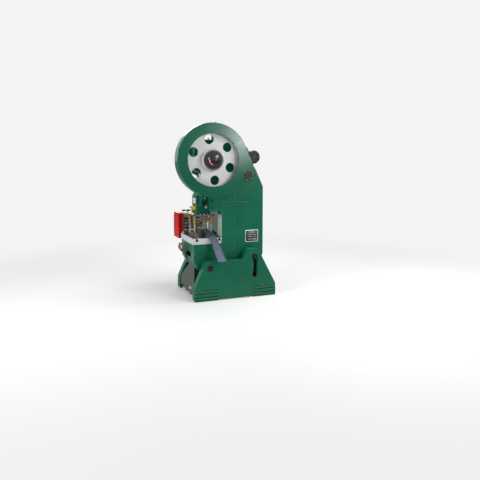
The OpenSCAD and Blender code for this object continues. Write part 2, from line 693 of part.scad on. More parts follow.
module upper_shoe() color("gray") at_ram() {
  translate([0, 0, upper_shoe_low]) linear_extrude(upper_shoe_t) shoe_2d(bush_r + fit);
  block([-die_half + 10, die_half - 10], [-70, 70], [punch_plate_low + 21, upper_shoe_low + 1]);
  block([-plate_half, plate_half], plate_y, [punch_plate_low, punch_plate_low + 22]);
  bar_z(ram_z - 1, ram_z + shank_len - 4, shank_r, 0, 0);
}
module guide_bushes() color("goldenrod") at_ram()
  for (x = [-post_x, post_x], y = post_rows) difference() {
    union() {
      bar_z(bush_low, upper_shoe_low + upper_shoe_t, bush_r, x, y);
      bar_z(bush_low + 62, bush_low + 74, bush_r + 3, x, y);
    }
    bar_z(bush_low - 1, ram_z + 1, post_r + fit, x, y);
  }
module stripper_plate() color(dark) at_ram() {
  block([-plate_half, plate_half], plate_y, [stripper_low, stripper_low + 22]);
  for (x = [-110, 110], y = [plate_y[0] + 24, plate_y[1] - 24]) bar_z(stripper_low + 22, punch_plate_low, 10, x, y);
  bar_z(stripper_low - 12, stripper_low + 1, 20, 0, 0);
}

// Ram: the guided part with its ways, and the narrower front block and nose. It holds the pocket for
// the rod's ball and the slot for the knockout bar
knock_top = ram_z + 144;
knock_h = 40;
knock_travel = 24;
module ram() color(green) at_ram() difference() {
  union() {
    block([-ram_half, ram_half], [slide_front, ram_back], [nose_top, ram_top]);
    block([-nose_half, nose_half], [ram_front, slide_front + 1], [nose_top - 1, block_top]);
    block([-nose_half, nose_half], [ram_front, ram_back], [ram_z, nose_top + 1]);
  }
  both_sides() translate([0, 0, ram_z - 1]) linear_extrude(ram_top - ram_z + 2) way_2d(0);
  bar_z(seat_z - ball_r - 26, ram_top + 1, pocket_r, 0, 0);
  bar_z(seat_z - ball_r - 26, ram_top + 1, pocket_r, 0, crank_r);
  block([-pocket_r, pocket_r], [0, crank_r], [seat_z - ball_r - 26, ram_top + 1]);
  block([-400, 400], [-14 - gap, 14 + gap], [knock_top - knock_h, knock_top + knock_travel + gap]);
  bar_z(ram_z - 1, ram_z + shank_len, shank_r + fit, 0, 0);
  // Nose for the shank clamp, cut back from the front
  block([-62, 62], [ram_front - 20, -48], [ram_z + 66, nose_top]);
}
pocket_r = 47;
module ball_seat() color("goldenrod") at_ram() {
  top = seat_z - ball_r - 12;
  for (y = [0, crank_r]) bar_z(top - 14, top, pocket_r - 2, 0, y);
  block([-pocket_r + 2, pocket_r - 2], [0, crank_r], [top - 14, top]);
}
module shank_clamp() color("gold") at_ram() {
  face = ram_front - 35;
  block([-58, 58], [ram_front - 1, -48], [ram_z + 70, ram_z + 122]);
  block([-90, 90], [face, ram_front], [ram_z + 70, ram_z + 124]);
  bar_y(face - 6, ram_front, 36, 0, ram_z + 84);
  for (x = [-64, 64]) {
    bar_y(face - 20, face, 8, x, ram_z + 97);
    hex_y(face - 12, face, 15, x, ram_z + 97);
  }
}
module knockout_bar() color(steel) at_ram()
  block([-knock_half, knock_half], [-14, 14], [knock_top - knock_h, knock_top]);

// Crankshaft: journals, two cheeks and the pin, at the top of the stroke
drum_r = 118;
module crankshaft() color(steel) at_ram() {
  both_sides() bar_x(rod_w / 2 + 12, throat_half - 6, cheek_r, 0, crank_z);
  bar_x(-rod_w / 2 - 13, rod_w / 2 + 13, crankpin_r, 0, pin_z);
  bar_x(throat_half - 7, hub_end + 8, journal_r, 0, crank_z);
  bar_x(-hub_x - 70, 7 - throat_half, journal_r, 0, crank_z);
}
module brake_drum() color(dark) at_ram() difference() {
  bar_x(-hub_x - 64, -hub_x - 2, drum_r, 0, crank_z);
  bar_x(-hub_x - 65, -hub_x - 50, drum_r - 18, 0, crank_z);
  bar_x(-hub_x - 66, -hub_x, journal_r + fit, 0, crank_z);
}
module rod_half(top) {
  z0 = top ? pin_z + 0.5 : pin_z - 200;
  z1 = top ? pin_z + 200 : pin_z - 0.5;
  difference() {
    union() {
      intersection() {
        bar_x(-rod_w / 2, rod_w / 2, crankpin_r + 34, 0, pin_z);
        block([-100, 100], [-300, 300], [z0, z1]);
      }
      block([-rod_w / 2, rod_w / 2], [-crankpin_r - 44, crankpin_r + 44],
        top ? [z0, pin_z + 34] : [pin_z - 34, z1]);
    }
    bar_x(-rod_w, rod_w, crankpin_r + fit, 0, pin_z);
  }
}
module connecting_rod() color(dark) at_ram() difference() {
  union() {
    rod_half(false);
    difference() {
      bar_z(seat_z + 150, pin_z - crankpin_r - 8, 40, 0, 0);
      bar_x(-rod_w, rod_w, crankpin_r + 4, 0, pin_z);
    }
  }
  bar_z(seat_z + 149, seat_z + 380, screw_r + fit, 0, 0);
}
module rod_cap() color(dark) at_ram() {
  rod_half(true);
  for (x = [-46, 46], y = [-crankpin_r - 26, crankpin_r + 26]) hex_z(pin_z + 34, pin_z + 48, 15, x, y);
}
screw_r = 24;
module ball_screw() color(steel) at_ram() {
  translate([0, 0, seat_z]) sphere(r = ball_r);
  bar_z(seat_z, seat_z + 360, screw_r, 0, 0);
  hex_z(seat_z + 118, seat_z + 149.5, 38, 0, 0);
}

// Involute tooth flanks. A point at radius r lies turn(r) degrees from the tooth's middle
pressure = 20;
backlash = 0.35;
function involute(a) = tan(a) * 180 / PI - a;
function turn(r, pitch, teeth) =
  90 / teeth - backlash / 2 / pitch * 180 / PI + involute(pressure)
  - (r * 1.00001 > pitch * cos(pressure) ? involute(acos(min(1, pitch * cos(pressure) / r))) : 0);
function tooth(mid, pitch, teeth) =
  let(root = pitch - 1.25 * gear_m, tip = pitch + gear_m, base = max(root, pitch * cos(pressure)),
      radii = [root, base + 0.01, (base + pitch) / 2 + 1, pitch + gear_m * 0.4, tip])
  concat([for (r = radii) r * heading(mid - turn(r, pitch, teeth))],
    [for (i = [4:-1:0]) radii[i] * heading(mid + turn(radii[i], pitch, teeth))]);
module teeth_2d(teeth, first) {
  pitch = gear_m * teeth / 2;
  polygon([for (i = [0:teeth - 1]) each tooth(first + i * 360 / teeth, pitch, teeth)]);
}

// A solid turned about an axis along X, from points [radius, x]
module turned_x(y, z, p) translate([0, y, z]) rotate([0, 90, 0]) rotate_extrude($fn = 180) polygon(p);
root_r = gear_r - 1.25 * gear_m;
gear_bore = journal_r + gear_bush_wall;
module main_gear() color("lightgray") at_ram() difference() {
  union() {
    along_x(gear_x, gear_back_x) translate([0, crank_z]) difference() {
      teeth_2d(gear_teeth, pinion_deg);
      circle(r = root_r - 10, $fn = 180);
    }
    turned_x(0, crank_z, [[gear_bore, hub_x], [hub_r - 24, hub_x], [hub_r - 10, web_x - 14],
      [hub_r + 30, web_x],
      [rim_in_r - 26, web_x], [rim_in_r, web_x - 22], [rim_in_r, gear_x], [root_r - 6, gear_x],
      [root_r - 6, gear_back_x], [rim_in_r, gear_back_x], [rim_in_r - 5, web_x + web_t + 12],
      [rim_in_r - 22, web_x + web_t], [hub_r + 34, web_x + web_t], [hub_r + 28, hub_end - 14],
      [hub_r + 22, hub_end], [gear_bore, hub_end]]);
  }
  for (i = [0:5]) bar_x(web_x - 40, gear_back_x + 1, hole_r,
    hole_ring_r * cos(hole_turn + 60 * i), crank_z + hole_ring_r * sin(hole_turn + 60 * i));
}
module gear_bush() color("goldenrod") at_ram()
  bush_ring(hub_x, hub_end, journal_r + fit, gear_bore - fit, 0, crank_z);
module clutch_cap() color(dark) at_ram() {
  difference() {
    bar_x(hub_end, hub_end + 26, hub_r, 0, crank_z);
    bar_x(hub_end - 1, hub_end + 12, journal_r + 4, 0, crank_z);
  }
  turned_x(0, crank_z, [[0, hub_end + 20], [92, hub_end + 20], [92, hub_end + 30], [84, hub_end + 40],
    [66, hub_end + 47], [36, hub_end + 51], [0, hub_end + 52]]);
  for (i = [0:9]) hex_x(hub_end + 26, hub_end + 34, 9,
    110 * cos(36 * i), crank_z + 110 * sin(36 * i));
}
module drive_shaft() color(steel) at_ram()
  bar_x(fly_x - fly_w - 10, gear_back_x + 16, shaft_r, shaft_y, shaft_z);
module pinion() color(steel) at_ram() difference() {
  union() {
    along_x(gear_x - 4, gear_back_x + 4) translate([shaft_y, shaft_z])
      teeth_2d(pinion_teeth, pinion_deg + 180 + 180 / pinion_teeth);
    bar_x(gear_x - 34, gear_x - 3, 64, shaft_y, shaft_z);
  }
  bar_x(gear_x - 35, gear_back_x + 5, shaft_r + fit, shaft_y, shaft_z);
}

// A rim with grooves for the belts, as points [radius, x] from x0 to x1
function grooves(r, deep) = [for (i = [belt_count - 1:-1:0])
  let(x = belt_x + (i - (belt_count - 1) / 2) * belt_pitch)
  each [[r, x + 9], [r - deep, x + 6.6], [r - deep, x - 6.6], [r, x - 9]]];
module flywheel() color(green) at_ram() difference() {
  turned_x(shaft_y, shaft_z, concat([[shaft_r + fit, fly_x], [86, fly_x], [92, belt_x + 16],
    [flywheel_r - 72, belt_x + 16], [flywheel_r - 62, fly_x], [flywheel_r, fly_x]],
    grooves(flywheel_r, groove), [[flywheel_r, fly_x - fly_w], [flywheel_r - 62, fly_x - fly_w],
    [flywheel_r - 72, belt_x - 16], [92, belt_x - 16], [86, fly_x - fly_w], [shaft_r + fit, fly_x - fly_w]]));
  for (i = [0:5]) bar_x(fly_x - fly_w, fly_x, 38, shaft_y + 160 * cos(60 * i), shaft_z + 160 * sin(60 * i));
}
module motor_shaft() color(steel) at_ram()
  bar_x(fly_x - fly_w - 4, motor_x0 + 38, motor_shaft_r, motor_y, motor_z);
module motor_pulley() color(dark) at_ram()
  turned_x(motor_y, motor_z, concat([[motor_shaft_r + fit, fly_x - 4], [pulley_r, fly_x - 4]],
    grooves(pulley_r, groove), [[pulley_r, fly_x - fly_w + 4], [motor_shaft_r + fit, fly_x - fly_w + 4]]));

// Roll feeder on the left of the bolster
shelf_z = bolster_top + 9;
shelf_t = 24;
roll_gap = 2;
roll_len = 2 * cheek_y - 6;
upper_z = feed_z + roll_gap / 2 + roll_r;
lower_z = feed_z - roll_gap / 2 - roll_r;
roll_shaft_r = 18;
head_top = 1232;
lever_x = feeder_x0 + 42;
lever_y = -133;
lever_z = head_top + 26;
module feeder_bracket() color(green) at_ram() {
  wall = -body_half - panel_t;
  block([wall - 14, wall], [-140, 140], [panel_low + 12, shelf_z]);
  block([feeder_x0 - 8, wall - 13], [-140, 140], [shelf_z - shelf_t, shelf_z]);
  for (y = [-128, 110]) along_y(y, y + 18)
    polygon([[wall - 13, panel_low + 30], [wall - 13, shelf_z - shelf_t + 1],
      [feeder_x0 + 20, shelf_z - shelf_t + 1]]);
}
module feeder_housing() color("darkkhaki") at_ram() difference() {
  union() {
    for (y = [-cheek_y - cheek_t, cheek_y])
      block([feeder_x0, feeder_x1], [y, y + cheek_t], [shelf_z, head_top]);
    block([feeder_x0, feeder_x1], [-cheek_y - 1, cheek_y + 1], [shelf_z, shelf_z + 10]);
    block([feeder_x0, feeder_x1], [-cheek_y - 1, cheek_y + 1], [upper_z + roll_r + 12, head_top]);
    for (y = [-60, 42]) difference() {
      block([lever_x - 20, lever_x + 20], [y, y + 18], [head_top - 1, lever_z + 20]);
      bar_y(y - 1, y + 19, 9 + fit, lever_x, lever_z);
    }
    // Springs' screws on the head
    for (x = [-roll_x + 20, -roll_x + 80]) {
      bar_z(head_top - 1, head_top + 34, 9, x, 0);
      hex_z(head_top, head_top + 12, 17, x, 0);
    }
  }
  for (z = [lower_z, upper_z])
    bar_y(-cheek_y - cheek_t - 1, cheek_y + cheek_t + 1, roll_shaft_r + fit, -roll_x, z);
}
module feed_roll(z) {
  bar_y(-roll_len / 2, roll_len / 2, roll_r, -roll_x, z);
  bar_y(-cheek_y - cheek_t - 34, cheek_y + cheek_t + 22, roll_shaft_r, -roll_x, z);
}
module upper_roll() color(steel) at_ram() feed_roll(upper_z);
module lower_roll() color(steel) at_ram() feed_roll(lower_z);
cover_outline = [[feeder_x0 - 50, 827, 14], [feeder_x0 - 50, head_top - 70, 30],
  [feeder_x0 - 10, head_top + 8, 30],
  [feeder_x1 + 20, head_top + 8, 14], [feeder_x1 + 30, 827, 14]];
module feeder_cover() color("firebrick") at_ram() difference() {
  along_y(cover_front, cover_front + cover_t) polygon(rounded(cover_outline));
  along_y(cover_front + 5, cover_front + cover_t - 4) polygon(rounded(inward(cover_outline, 5)));
  for (z = [lower_z, upper_z])
    bar_y(cover_front + 20, cover_front + cover_t + 1, roll_shaft_r + 6, -roll_x, z);
}
module feed_lever() color("black") at_ram() {
  translate([lever_x, lever_y, lever_z]) rotate([0, 82, 0]) {
    bar_z(0, 80, 8, 0, 0);
    translate([0, 0, 90]) sphere(r = 17);
  }
  bar_y(lever_y - 12, 62, 9, lever_x, lever_z);
  for (y = [lever_y - 10, -36]) bar_y(y, y + 20, 15, lever_x, lever_z);
}

// Sheet chute that leads finished pieces from the die over the bolster and past the leg
exit_path = [[die_half + 2, die_top - 8], [body_half + 8, bolster_top + 22],
  [leg_half + 114, leg_shoulder_z + 13]];
exit_edges = [[-36, 44], [60, 196]];
exit_x = [for (p = exit_path) p[0]];
module exit_plan(inset) polygon([
  [exit_x[0], exit_edges[0][0] + inset], [exit_x[2], exit_edges[1][0] + inset],
  [exit_x[2], exit_edges[1][1] - inset], [exit_x[0], exit_edges[0][1] - inset]]);
exit_fall = (exit_path[0][1] - exit_path[1][1]) / (exit_x[1] - exit_x[0]);
function exit_z(x) = exit_path[0][1] - exit_fall * (x - exit_x[0]);
exit_foot = [285, 350];
module exit_chute() color("slategray") at_ram() {
  intersection() {
    along_y(-300, 400) polygon(bent(exit_path, 3));
    linear_extrude(2000) exit_plan(0);
  }
  intersection() {
    along_y(-300, 400) polygon(bent(exit_path, 16));
    linear_extrude(2000) difference() {
      exit_plan(0);
      exit_plan(3);
    }
  }
  // Foot between the bolster and the sheet
  along_y(-20, 30) polygon([[exit_foot[0], bolster_top], [exit_foot[1], bolster_top],
    [exit_foot[1], exit_z(exit_foot[1]) + 1], [exit_foot[0], exit_z(exit_foot[0]) + 1]]);
}

// Control box below the bolster's front
box_x = [-330, -60];
box_z = [bed_z - 180, bed_z - 68];
box_front = body_front - 62;
button_r = 13;
run_at = [-100, bed_z - 96];
stop_at = [-285, bed_z - 124];
knob_at = [-100, bed_z - 150];
module box_point(p) translate([p[0], box_front, p[1]]) rotate([90, 0, 0]) children();
module control_box() color("lightgray") at_ram() difference() {
  union() {
    block(box_x, [box_front, body_front], box_z);
    for (p = [run_at, stop_at, knob_at]) box_point(p) cylinder(r = button_r + 9, h = 4);
  }
  for (p = [run_at, stop_at, knob_at])
    box_point(p) translate([0, 0, -36]) cylinder(r = button_r + fit, h = 50);
}
module button(p, cap) at_ram() box_point(p) {
  translate([0, 0, -28]) cylinder(r = button_r, h = 38.5);
  translate([0, 0, 10]) cylinder(r = cap, h = 7);
}
module run_button() color("white") button(run_at, button_r + 4);
module stop_button() color("red") button(stop_at, button_r + 9);
module mode_knob() color("black") {
  at_ram() box_point(knob_at) {
    translate([0, 0, -28]) cylinder(r = button_r, h = 33);
    translate([0, 0, 4.5]) cylinder(r = button_r + 6, h = 8);
    translate([-4, -button_r - 5, 12]) cube([8, 2 * button_r + 10, 10]);
  }
}

module lifting_eyes() color(dark) at_ram() for (x = [-230, 230]) {
  bar_z(crown_z, crown_z + 8, 26, x, 260);
  bar_z(crown_z, crown_z + 26, 11, x, 260);
  translate([x, 260, crown_z + 50]) rotate([90, 0, 0])
    rotate_extrude() translate([26, 0]) circle(r = 9, $fn = 32);
}

leg_right();
leg_left();
tie_rods();
scrap_chute();
pedal_shaft();
pedal();
frame_body();
pivot_pins();
clamp_bolts();
bolster();
crank_cover();
bearing_bushes();
gear_guard();
guard_cap();
belt_guard();
motor_plate();
motor_housing();
motor_fan_cover();
terminal_box();
drive_belts();
gib_left();
gib_right();
gib_screws();
knockout_stops();
brake_band();
die_shoe();
die_block();
guide_posts();
control_box();
feeder_bracket();
feeder_housing();
feeder_cover();
exit_chute();
lifting_eyes();
main_gear();
gear_bush();
clutch_cap();
drive_shaft();
pinion();
flywheel();
motor_shaft();
motor_pulley();
crankshaft();
brake_drum();
connecting_rod();
rod_cap();
ball_screw();
ram();
ball_seat();
shank_clamp();
upper_shoe();
guide_bushes();
stripper_plate();
knockout_bar();
upper_roll();
lower_roll();
feed_lever();
run_button();
stop_button();
mode_knob();
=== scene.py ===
"""A crank press that tilts back in its legs, dressed from its CAD solids: paint, steel and small parts.

The CAD frame has +Z up, the press faces -Y and its gear guard is on +X. Everything is in metres.
"""
# %% [markdown]
# A mechanical press is a heavy iron frame that guides a ram, and most of it is large plain shapes
# with crisp edges. Those are made in CAD and loaded here, and they are never moved. Blender could
# model the whole press, but the solids already fit each other and move right, so it only gives
# them their finish and adds what is too small or too thin for them: screws, plates, springs,
# clamps and wire mesh.

# %% Load the frame
import math

import bpy
import numpy as np
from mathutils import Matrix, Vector


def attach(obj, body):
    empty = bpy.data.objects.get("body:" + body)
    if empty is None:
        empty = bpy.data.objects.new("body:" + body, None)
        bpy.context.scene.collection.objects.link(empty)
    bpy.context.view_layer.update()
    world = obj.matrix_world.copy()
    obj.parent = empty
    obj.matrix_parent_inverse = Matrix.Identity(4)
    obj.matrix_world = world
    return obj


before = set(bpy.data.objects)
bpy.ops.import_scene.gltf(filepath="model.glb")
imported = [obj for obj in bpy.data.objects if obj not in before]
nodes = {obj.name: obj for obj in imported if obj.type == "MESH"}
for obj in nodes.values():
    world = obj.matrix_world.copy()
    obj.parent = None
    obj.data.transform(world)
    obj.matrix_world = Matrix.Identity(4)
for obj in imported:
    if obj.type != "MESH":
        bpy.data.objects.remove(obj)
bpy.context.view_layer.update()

# %% [markdown]
# A screw has to sit on the face that it holds. The CAD source is drawn in millimetres with y = 0
# on the axis of the ram, so the added pieces use the same numbers, and `at` turns such a point
# into the frame's metres. Reading each place from a solid's box would also work, but most screws
# are not at a corner. The list repeats the places that more than one piece needs.

# %% Sizes taken from the CAD source
RAM_Y = -388.0  # the ram's axis, counted from the middle between the anchor bolts
BODY_X = 355.0  # outer side of the C-frame
CRANK_Z = 2101.0  # axis of the crank and the large gear
GUARD_X = 648.0  # outer face of the gear guard
SHAFT_Y, SHAFT_Z = 534.7, 1876.2  # axis of the drive shaft
BED_Z = 836.0  # underside of the bolster
BOLSTER_TOP = 926.0
BOLSTER_X, BOLSTER_Y = 355.0, 240.0  # half of the bolster's width and depth
SHOE_TOP = 964.0  # top of the lower die shoe
RAM_Z = 1266.0  # lower face of the ram at rest
RAM_FRONT = -115.0  # front of the ram's lower end
THROAT_X, THROAT_Y, THROAT_TOP = 176.6, 213.0, 1333.0  # half width, back wall and top of the throat
LEG_X = 518.0  # outer side of a leg
PIVOT_Y, PIVOT_Z = -20.0, 492.0  # pin that the frame tilts about


def at(x, y, z):
    """A point or array of points from ram millimetres to the frame's metres: ((x, y + RAM_Y, z) / 1000)."""
    return np.stack(np.broadcast_arrays(x, np.asarray(y, float) + RAM_Y, z), axis=-1) / 1000.0


CRANK = tuple(at(0, 0, CRANK_Z))
SHAFT = tuple(at(0, SHAFT_Y, SHAFT_Z))
PIVOT = tuple(at(0, PIVOT_Y, PIVOT_Z))
print("axis of the ram:", at(0, 0, RAM_Z).round(4).tolist())

# %% [markdown]
# The camera stands where the photograph was taken: in front of the gear side, a little above
# the middle of the press and about eight metres away. Turning the camera until the press sits
# right would bend its upright lines, so the lens looks almost level and a small shift of the
# picture puts the press at its place.

# %% Camera
YAW, PITCH = 0.364, 0.107
SENSOR = 36.0  # width of the camera's sensor in mm
PICTURE, FOCAL, LEVEL_ROW = 480.0, 500.0, 213.5  # in pixels: side, focal length, row that it looks along
forward = Vector((-math.cos(YAW) * math.cos(PITCH), math.sin(YAW) * math.cos(PITCH), -math.sin(PITCH)))
camera = bpy.data.objects.new("camera", bpy.data.cameras.new("camera"))
bpy.context.scene.collection.objects.link(camera)
camera.location = (7.5057, -2.5987, 2.1036)
camera.rotation_mode = "QUATERNION"
camera.rotation_quaternion = forward.to_track_quat("-Z", "Y")
camera.data.lens = SENSOR * FOCAL / PICTURE
camera.data.shift_y = (LEVEL_ROW - PICTURE / 2) / PICTURE
camera.data.clip_end = 60.0
bpy.context.scene.camera = camera
print("lens:", camera.data.lens, "shift:", round(camera.data.shift_y, 4))

# %% [markdown]
# Every light, floor and finish below is a tree of shader nodes. They could be placed by hand in
# the editor, but a script keeps them readable if a node and its links take one line, so four
# short helpers come first.

# %% Helpers for nodes
def fill(tree, node, values):
    """Sets each input of the node, by name or number, to its value, or links it to a socket."""
    for key, value in values.items():
        if isinstance(value, bpy.types.NodeSocket):
            tree.links.new(value, node.inputs[key])
        else:
            node.inputs[key].default_value = value
    return node


def put(tree, kind, values=None, **settings):
    """A new node with its settings by name and its inputs filled from values."""
    node = tree.nodes.new(kind)
    for key, value in settings.items():
        setattr(node, key, value)
    return fill(tree, node, values or {})


def math_node(tree, operation, *values, clamp=False):
    """The result of one sum of numbers or sockets, such as ADD or MULTIPLY."""
    node = put(tree, "ShaderNodeMath", dict(enumerate(values)), operation=operation, use_clamp=clamp)
    return node.outputs[0]


def mix_colour(tree, share, low, high):
    """A colour between low and high, by share."""
    node = put(tree, "ShaderNodeMix", {0: share, 6: low, 7: high}, data_type="RGBA")
    return node.outputs[2]


def stretch(tree, value, low, high, to_low=0.0, to_high=1.0):
    """The value from the range low to high carried over to the range to_low to to_high, and held there."""
    return put(tree, "ShaderNodeMapRange", {0: value, 1: low, 2: high, 3: to_low, 4: to_high}).outputs[0]


def open_tree(owner):
    """The empty node tree of a material or a world."""
    owner.use_nodes = True
    owner.node_tree.nodes.clear()
    return owner.node_tree


# %% [markdown]
# Gloss paint and ground steel mirror what is round them, so the press needs surroundings. A
# picture of a sky could do that, but a plain white one has no pattern that would show in the
# paint. It lights the press weakly, and what looks straight at it, or sees it in a shiny face,
# finds it nearly white.

# %% Sky
SKY_LIGHT, SKY_SEEN = 0.27, 0.9
WHITE = (1.0, 1.0, 1.0, 1.0)
sky = bpy.data.worlds.new("studio sky")
bpy.context.scene.world = sky
tree = open_tree(sky)
rays = put(tree, "ShaderNodeLightPath").outputs
mirrored = math_node(tree, "MAXIMUM", rays["Is Glossy Ray"], rays["Is Transmission Ray"])
shown = math_node(tree, "MAXIMUM", rays["Is Camera Ray"], mirrored)
strength = stretch(tree, shown, 0.0, 1.0, SKY_LIGHT, SKY_SEEN)
light = put(tree, "ShaderNodeBackground", {"Color": WHITE, "Strength": strength})
put(tree, "ShaderNodeOutputWorld", {"Surface": light.outputs[0]})
bpy.context.scene.view_settings.view_transform = "Standard"
print("sky strength:", SKY_LIGHT, "seen as:", SKY_SEEN)

# %% [markdown]
# Five large lamps stand around the press. Small ones would be simpler to place, but their hard
# shadows would hide the dies, and large ones shade softly, at a level where a colour shows about
# as it is written. The sixth lamp is tall and narrow: its reflection is the bright band on the
# guard.

# %% Lamps
def lamp(name, place, aim, width, power, height=None):
    """A soft lamp at place that points at aim; it is square unless its height is given."""
    data = bpy.data.lights.new(name, "AREA")
    data.shape, data.size, data.size_y, data.energy = "RECTANGLE", width, height or width, power
    obj = bpy.data.objects.new(name, data)
    bpy.context.scene.collection.objects.link(obj)
    obj.location = place
    obj.rotation_mode = "QUATERNION"
    obj.rotation_quaternion = (Vector(aim) - Vector(place)).to_track_quat("-Z", "Y")
    return obj


lamp("lamp_front", (1.6, -6.0, 4.2), (0, 0, 1.2), 3.0, 320.0)
lamp("lamp_right", (4.6, 3.8, 4.6), (0.4, 0.3, 1.5), 1.8, 145.0)
lamp("lamp_top", (0.6, 1.2, 6.0), (0, 0, 1.4), 2.6, 150.0)
lamp("lamp_left", (-5.5, 1.0, 3.6), (0, 0, 1.2), 3.0, 150.0)
lamp("lamp_rear", (1.4, 5.8, 2.8), (-0.1, 0.0, 1.2), 2.4, 130.0)
lamp("lamp_narrow", (4.77, 1.6, 2.62), (0.5, 0.0, 2.3), 0.2, 48.0, height=0.9)
print("lamps:", len(bpy.data.lights))

# %% [markdown]
# A soft shadow shows that the press stands on something. A backdrop that curves up behind it would
# show its edges in other views, so the floor is a flat pale disc, and with distance it fades to
# the sky's white.

# %% Floor
FLOOR_REACH = 90.0
FADE_FROM, FADE_TO = 1.6, 6.5  # metres from the press


def surface(name, points, smooth=True):
    """A mesh through a grid, points[i, j] = S(u_i, v_j), with one quad between each four neighbours."""
    rows, cols = points.shape[:2]
    i, j = np.meshgrid(np.arange(rows - 1), np.arange(cols - 1), indexing="ij")
    corner = (i * cols + j).ravel()
    quads = np.stack([corner, corner + cols, corner + cols + 1, corner + 1], axis=1)
    mesh = bpy.data.meshes.new(name)
    mesh.from_pydata(points.reshape(-1, 3).tolist(), [], quads.tolist())
    mesh.polygons.foreach_set("use_smooth", np.full(len(quads), smooth))
    obj = bpy.data.objects.new(name, mesh)
    bpy.context.scene.collection.objects.link(obj)
    return obj


def round_floor(reach):
    """P(r, t) = (r cos t, r sin t, 0), a flat disc. Its radii grow like r = reach s^3."""
    radii, angles = reach * np.linspace(0.02, 1.0, 12) ** 3, np.linspace(0, 2 * math.pi, 65)
    r, t = np.meshgrid(radii, angles, indexing="ij")
    return surface("floor", np.stack([r * np.cos(t), r * np.sin(t), np.zeros_like(r)], axis=-1))


floor = round_floor(FLOOR_REACH)
pale = bpy.data.materials.new("pale floor")
tree = open_tree(pale)
rays = put(tree, "ShaderNodeLightPath")
matt = put(tree, "ShaderNodeBsdfDiffuse", {"Color": (0.66, 0.67, 0.66, 1)})
glow = put(tree, "ShaderNodeEmission", {"Color": WHITE, "Strength": 0.1})
near = put(tree, "ShaderNodeAddShader", {0: matt.outputs[0], 1: glow.outputs[0]})
haze = put(tree, "ShaderNodeEmission", {"Color": WHITE, "Strength": SKY_SEEN})
spot = put(tree, "ShaderNodeTexCoord").outputs["Object"]
away = put(tree, "ShaderNodeVectorMath", {0: spot}, operation="LENGTH").outputs["Value"]
fade = put(tree, "ShaderNodeMapRange", {0: away, 1: FADE_FROM, 2: FADE_TO}, interpolation_type="SMOOTHSTEP")
pictured = put(tree, "ShaderNodeMixShader", {0: fade.outputs[0], 1: near.outputs[0], 2: haze.outputs[0]})
shown = put(tree, "ShaderNodeMixShader",
            {0: rays.outputs["Is Camera Ray"], 1: matt.outputs[0], 2: pictured.outputs[0]})
put(tree, "ShaderNodeOutputMaterial", {"Surface": shown.outputs[0]})
floor.data.materials.append(pale)
print("floor corners:", len(floor.data.vertices))

# %% [markdown]
# Iron that was cast, painted, turned and ground shows how it was made. Those traces could be
# drawn anew in every material, but five of them are used by many finishes, so each is a node
# group with named inputs. The first softens the sharp edges of the solids and says where an edge
# is. The second is the skin of a sand casting under paint. The third turns an edge into rubbed and
# chipped paint, painted lighter also as a highlight, and lays dust low down. The fourth is the
# fine rings that a lathe leaves, and the fifth the straight scratches of a grinder.

# %% Node groups
def new_group(name, inputs, outputs):
    """An empty node group with its named sockets, and its input and output nodes."""
    group = bpy.data.node_groups.new(name, "ShaderNodeTree")
    for label, kind, value in inputs:
        socket = group.interface.new_socket(label, in_out="INPUT", socket_type="NodeSocket" + kind)
        socket.default_value = value
    for label, kind in outputs:
        group.interface.new_socket(label, in_out="OUTPUT", socket_type="NodeSocket" + kind)
    return group, group.nodes.new("NodeGroupInput").outputs, group.nodes.new("NodeGroupOutput")


def noise(tree, vector, scale, detail=2.0, rough=0.5):
    """Cloudy noise from 0 to 1, with scale in cells per metre."""
    values = {"Vector": vector, "Scale": scale, "Detail": detail, "Roughness": rough}
    return put(tree, "ShaderNodeTexNoise", values).outputs["Fac"]


def soft_edges():
    """Normal: the face's, rounded over Radius. Edge: how far it leans from the face, by n.b, as 0 to 1."""
    tree, given, out = new_group(
        "soft edges", [("Radius", "Float", 0.004)], [("Normal", "Vector"), ("Edge", "Float")])
    bevel = put(tree, "ShaderNodeBevel", {"Radius": given["Radius"]}, samples=4)
    face = put(tree, "ShaderNodeNewGeometry")
    lean = put(tree, "ShaderNodeVectorMath", {0: bevel.outputs[0], 1: face.outputs["Normal"]},
               operation="DOT_PRODUCT")
    edge = stretch(tree, lean.outputs["Value"], 0.985, 0.78)
    tree.links.new(bevel.outputs[0], out.inputs["Normal"])
    tree.links.new(edge, out.inputs["Edge"])
    return tree


def casting_skin():
    """Height: slow lumps of the mould plus the fine grain of the paint. Patch: broad uneven tone."""
    tree, given, out = new_group(
        "casting skin",
        [("Vector", "Vector", (0, 0, 0)), ("Lumps", "Float", 9.0), ("Grain", "Float", 260.0),
         ("Share", "Float", 0.75)],
        [("Height", "Float"), ("Patch", "Float")])
    lumps = noise(tree, given["Vector"], given["Lumps"], 3.0)
    grain = noise(tree, given["Vector"], given["Grain"], 2.0)
    lump_part = math_node(tree, "MULTIPLY", lumps, given["Share"])
    grain_part = math_node(tree, "MULTIPLY", grain, math_node(tree, "SUBTRACT", 1.0, given["Share"]))
    tree.links.new(math_node(tree, "ADD", lump_part, grain_part), out.inputs["Height"])
    patch = stretch(tree, noise(tree, given["Vector"], 2.6, 5.0, 0.6), 0.3, 0.7)
    tree.links.new(patch, out.inputs["Patch"])
    return tree


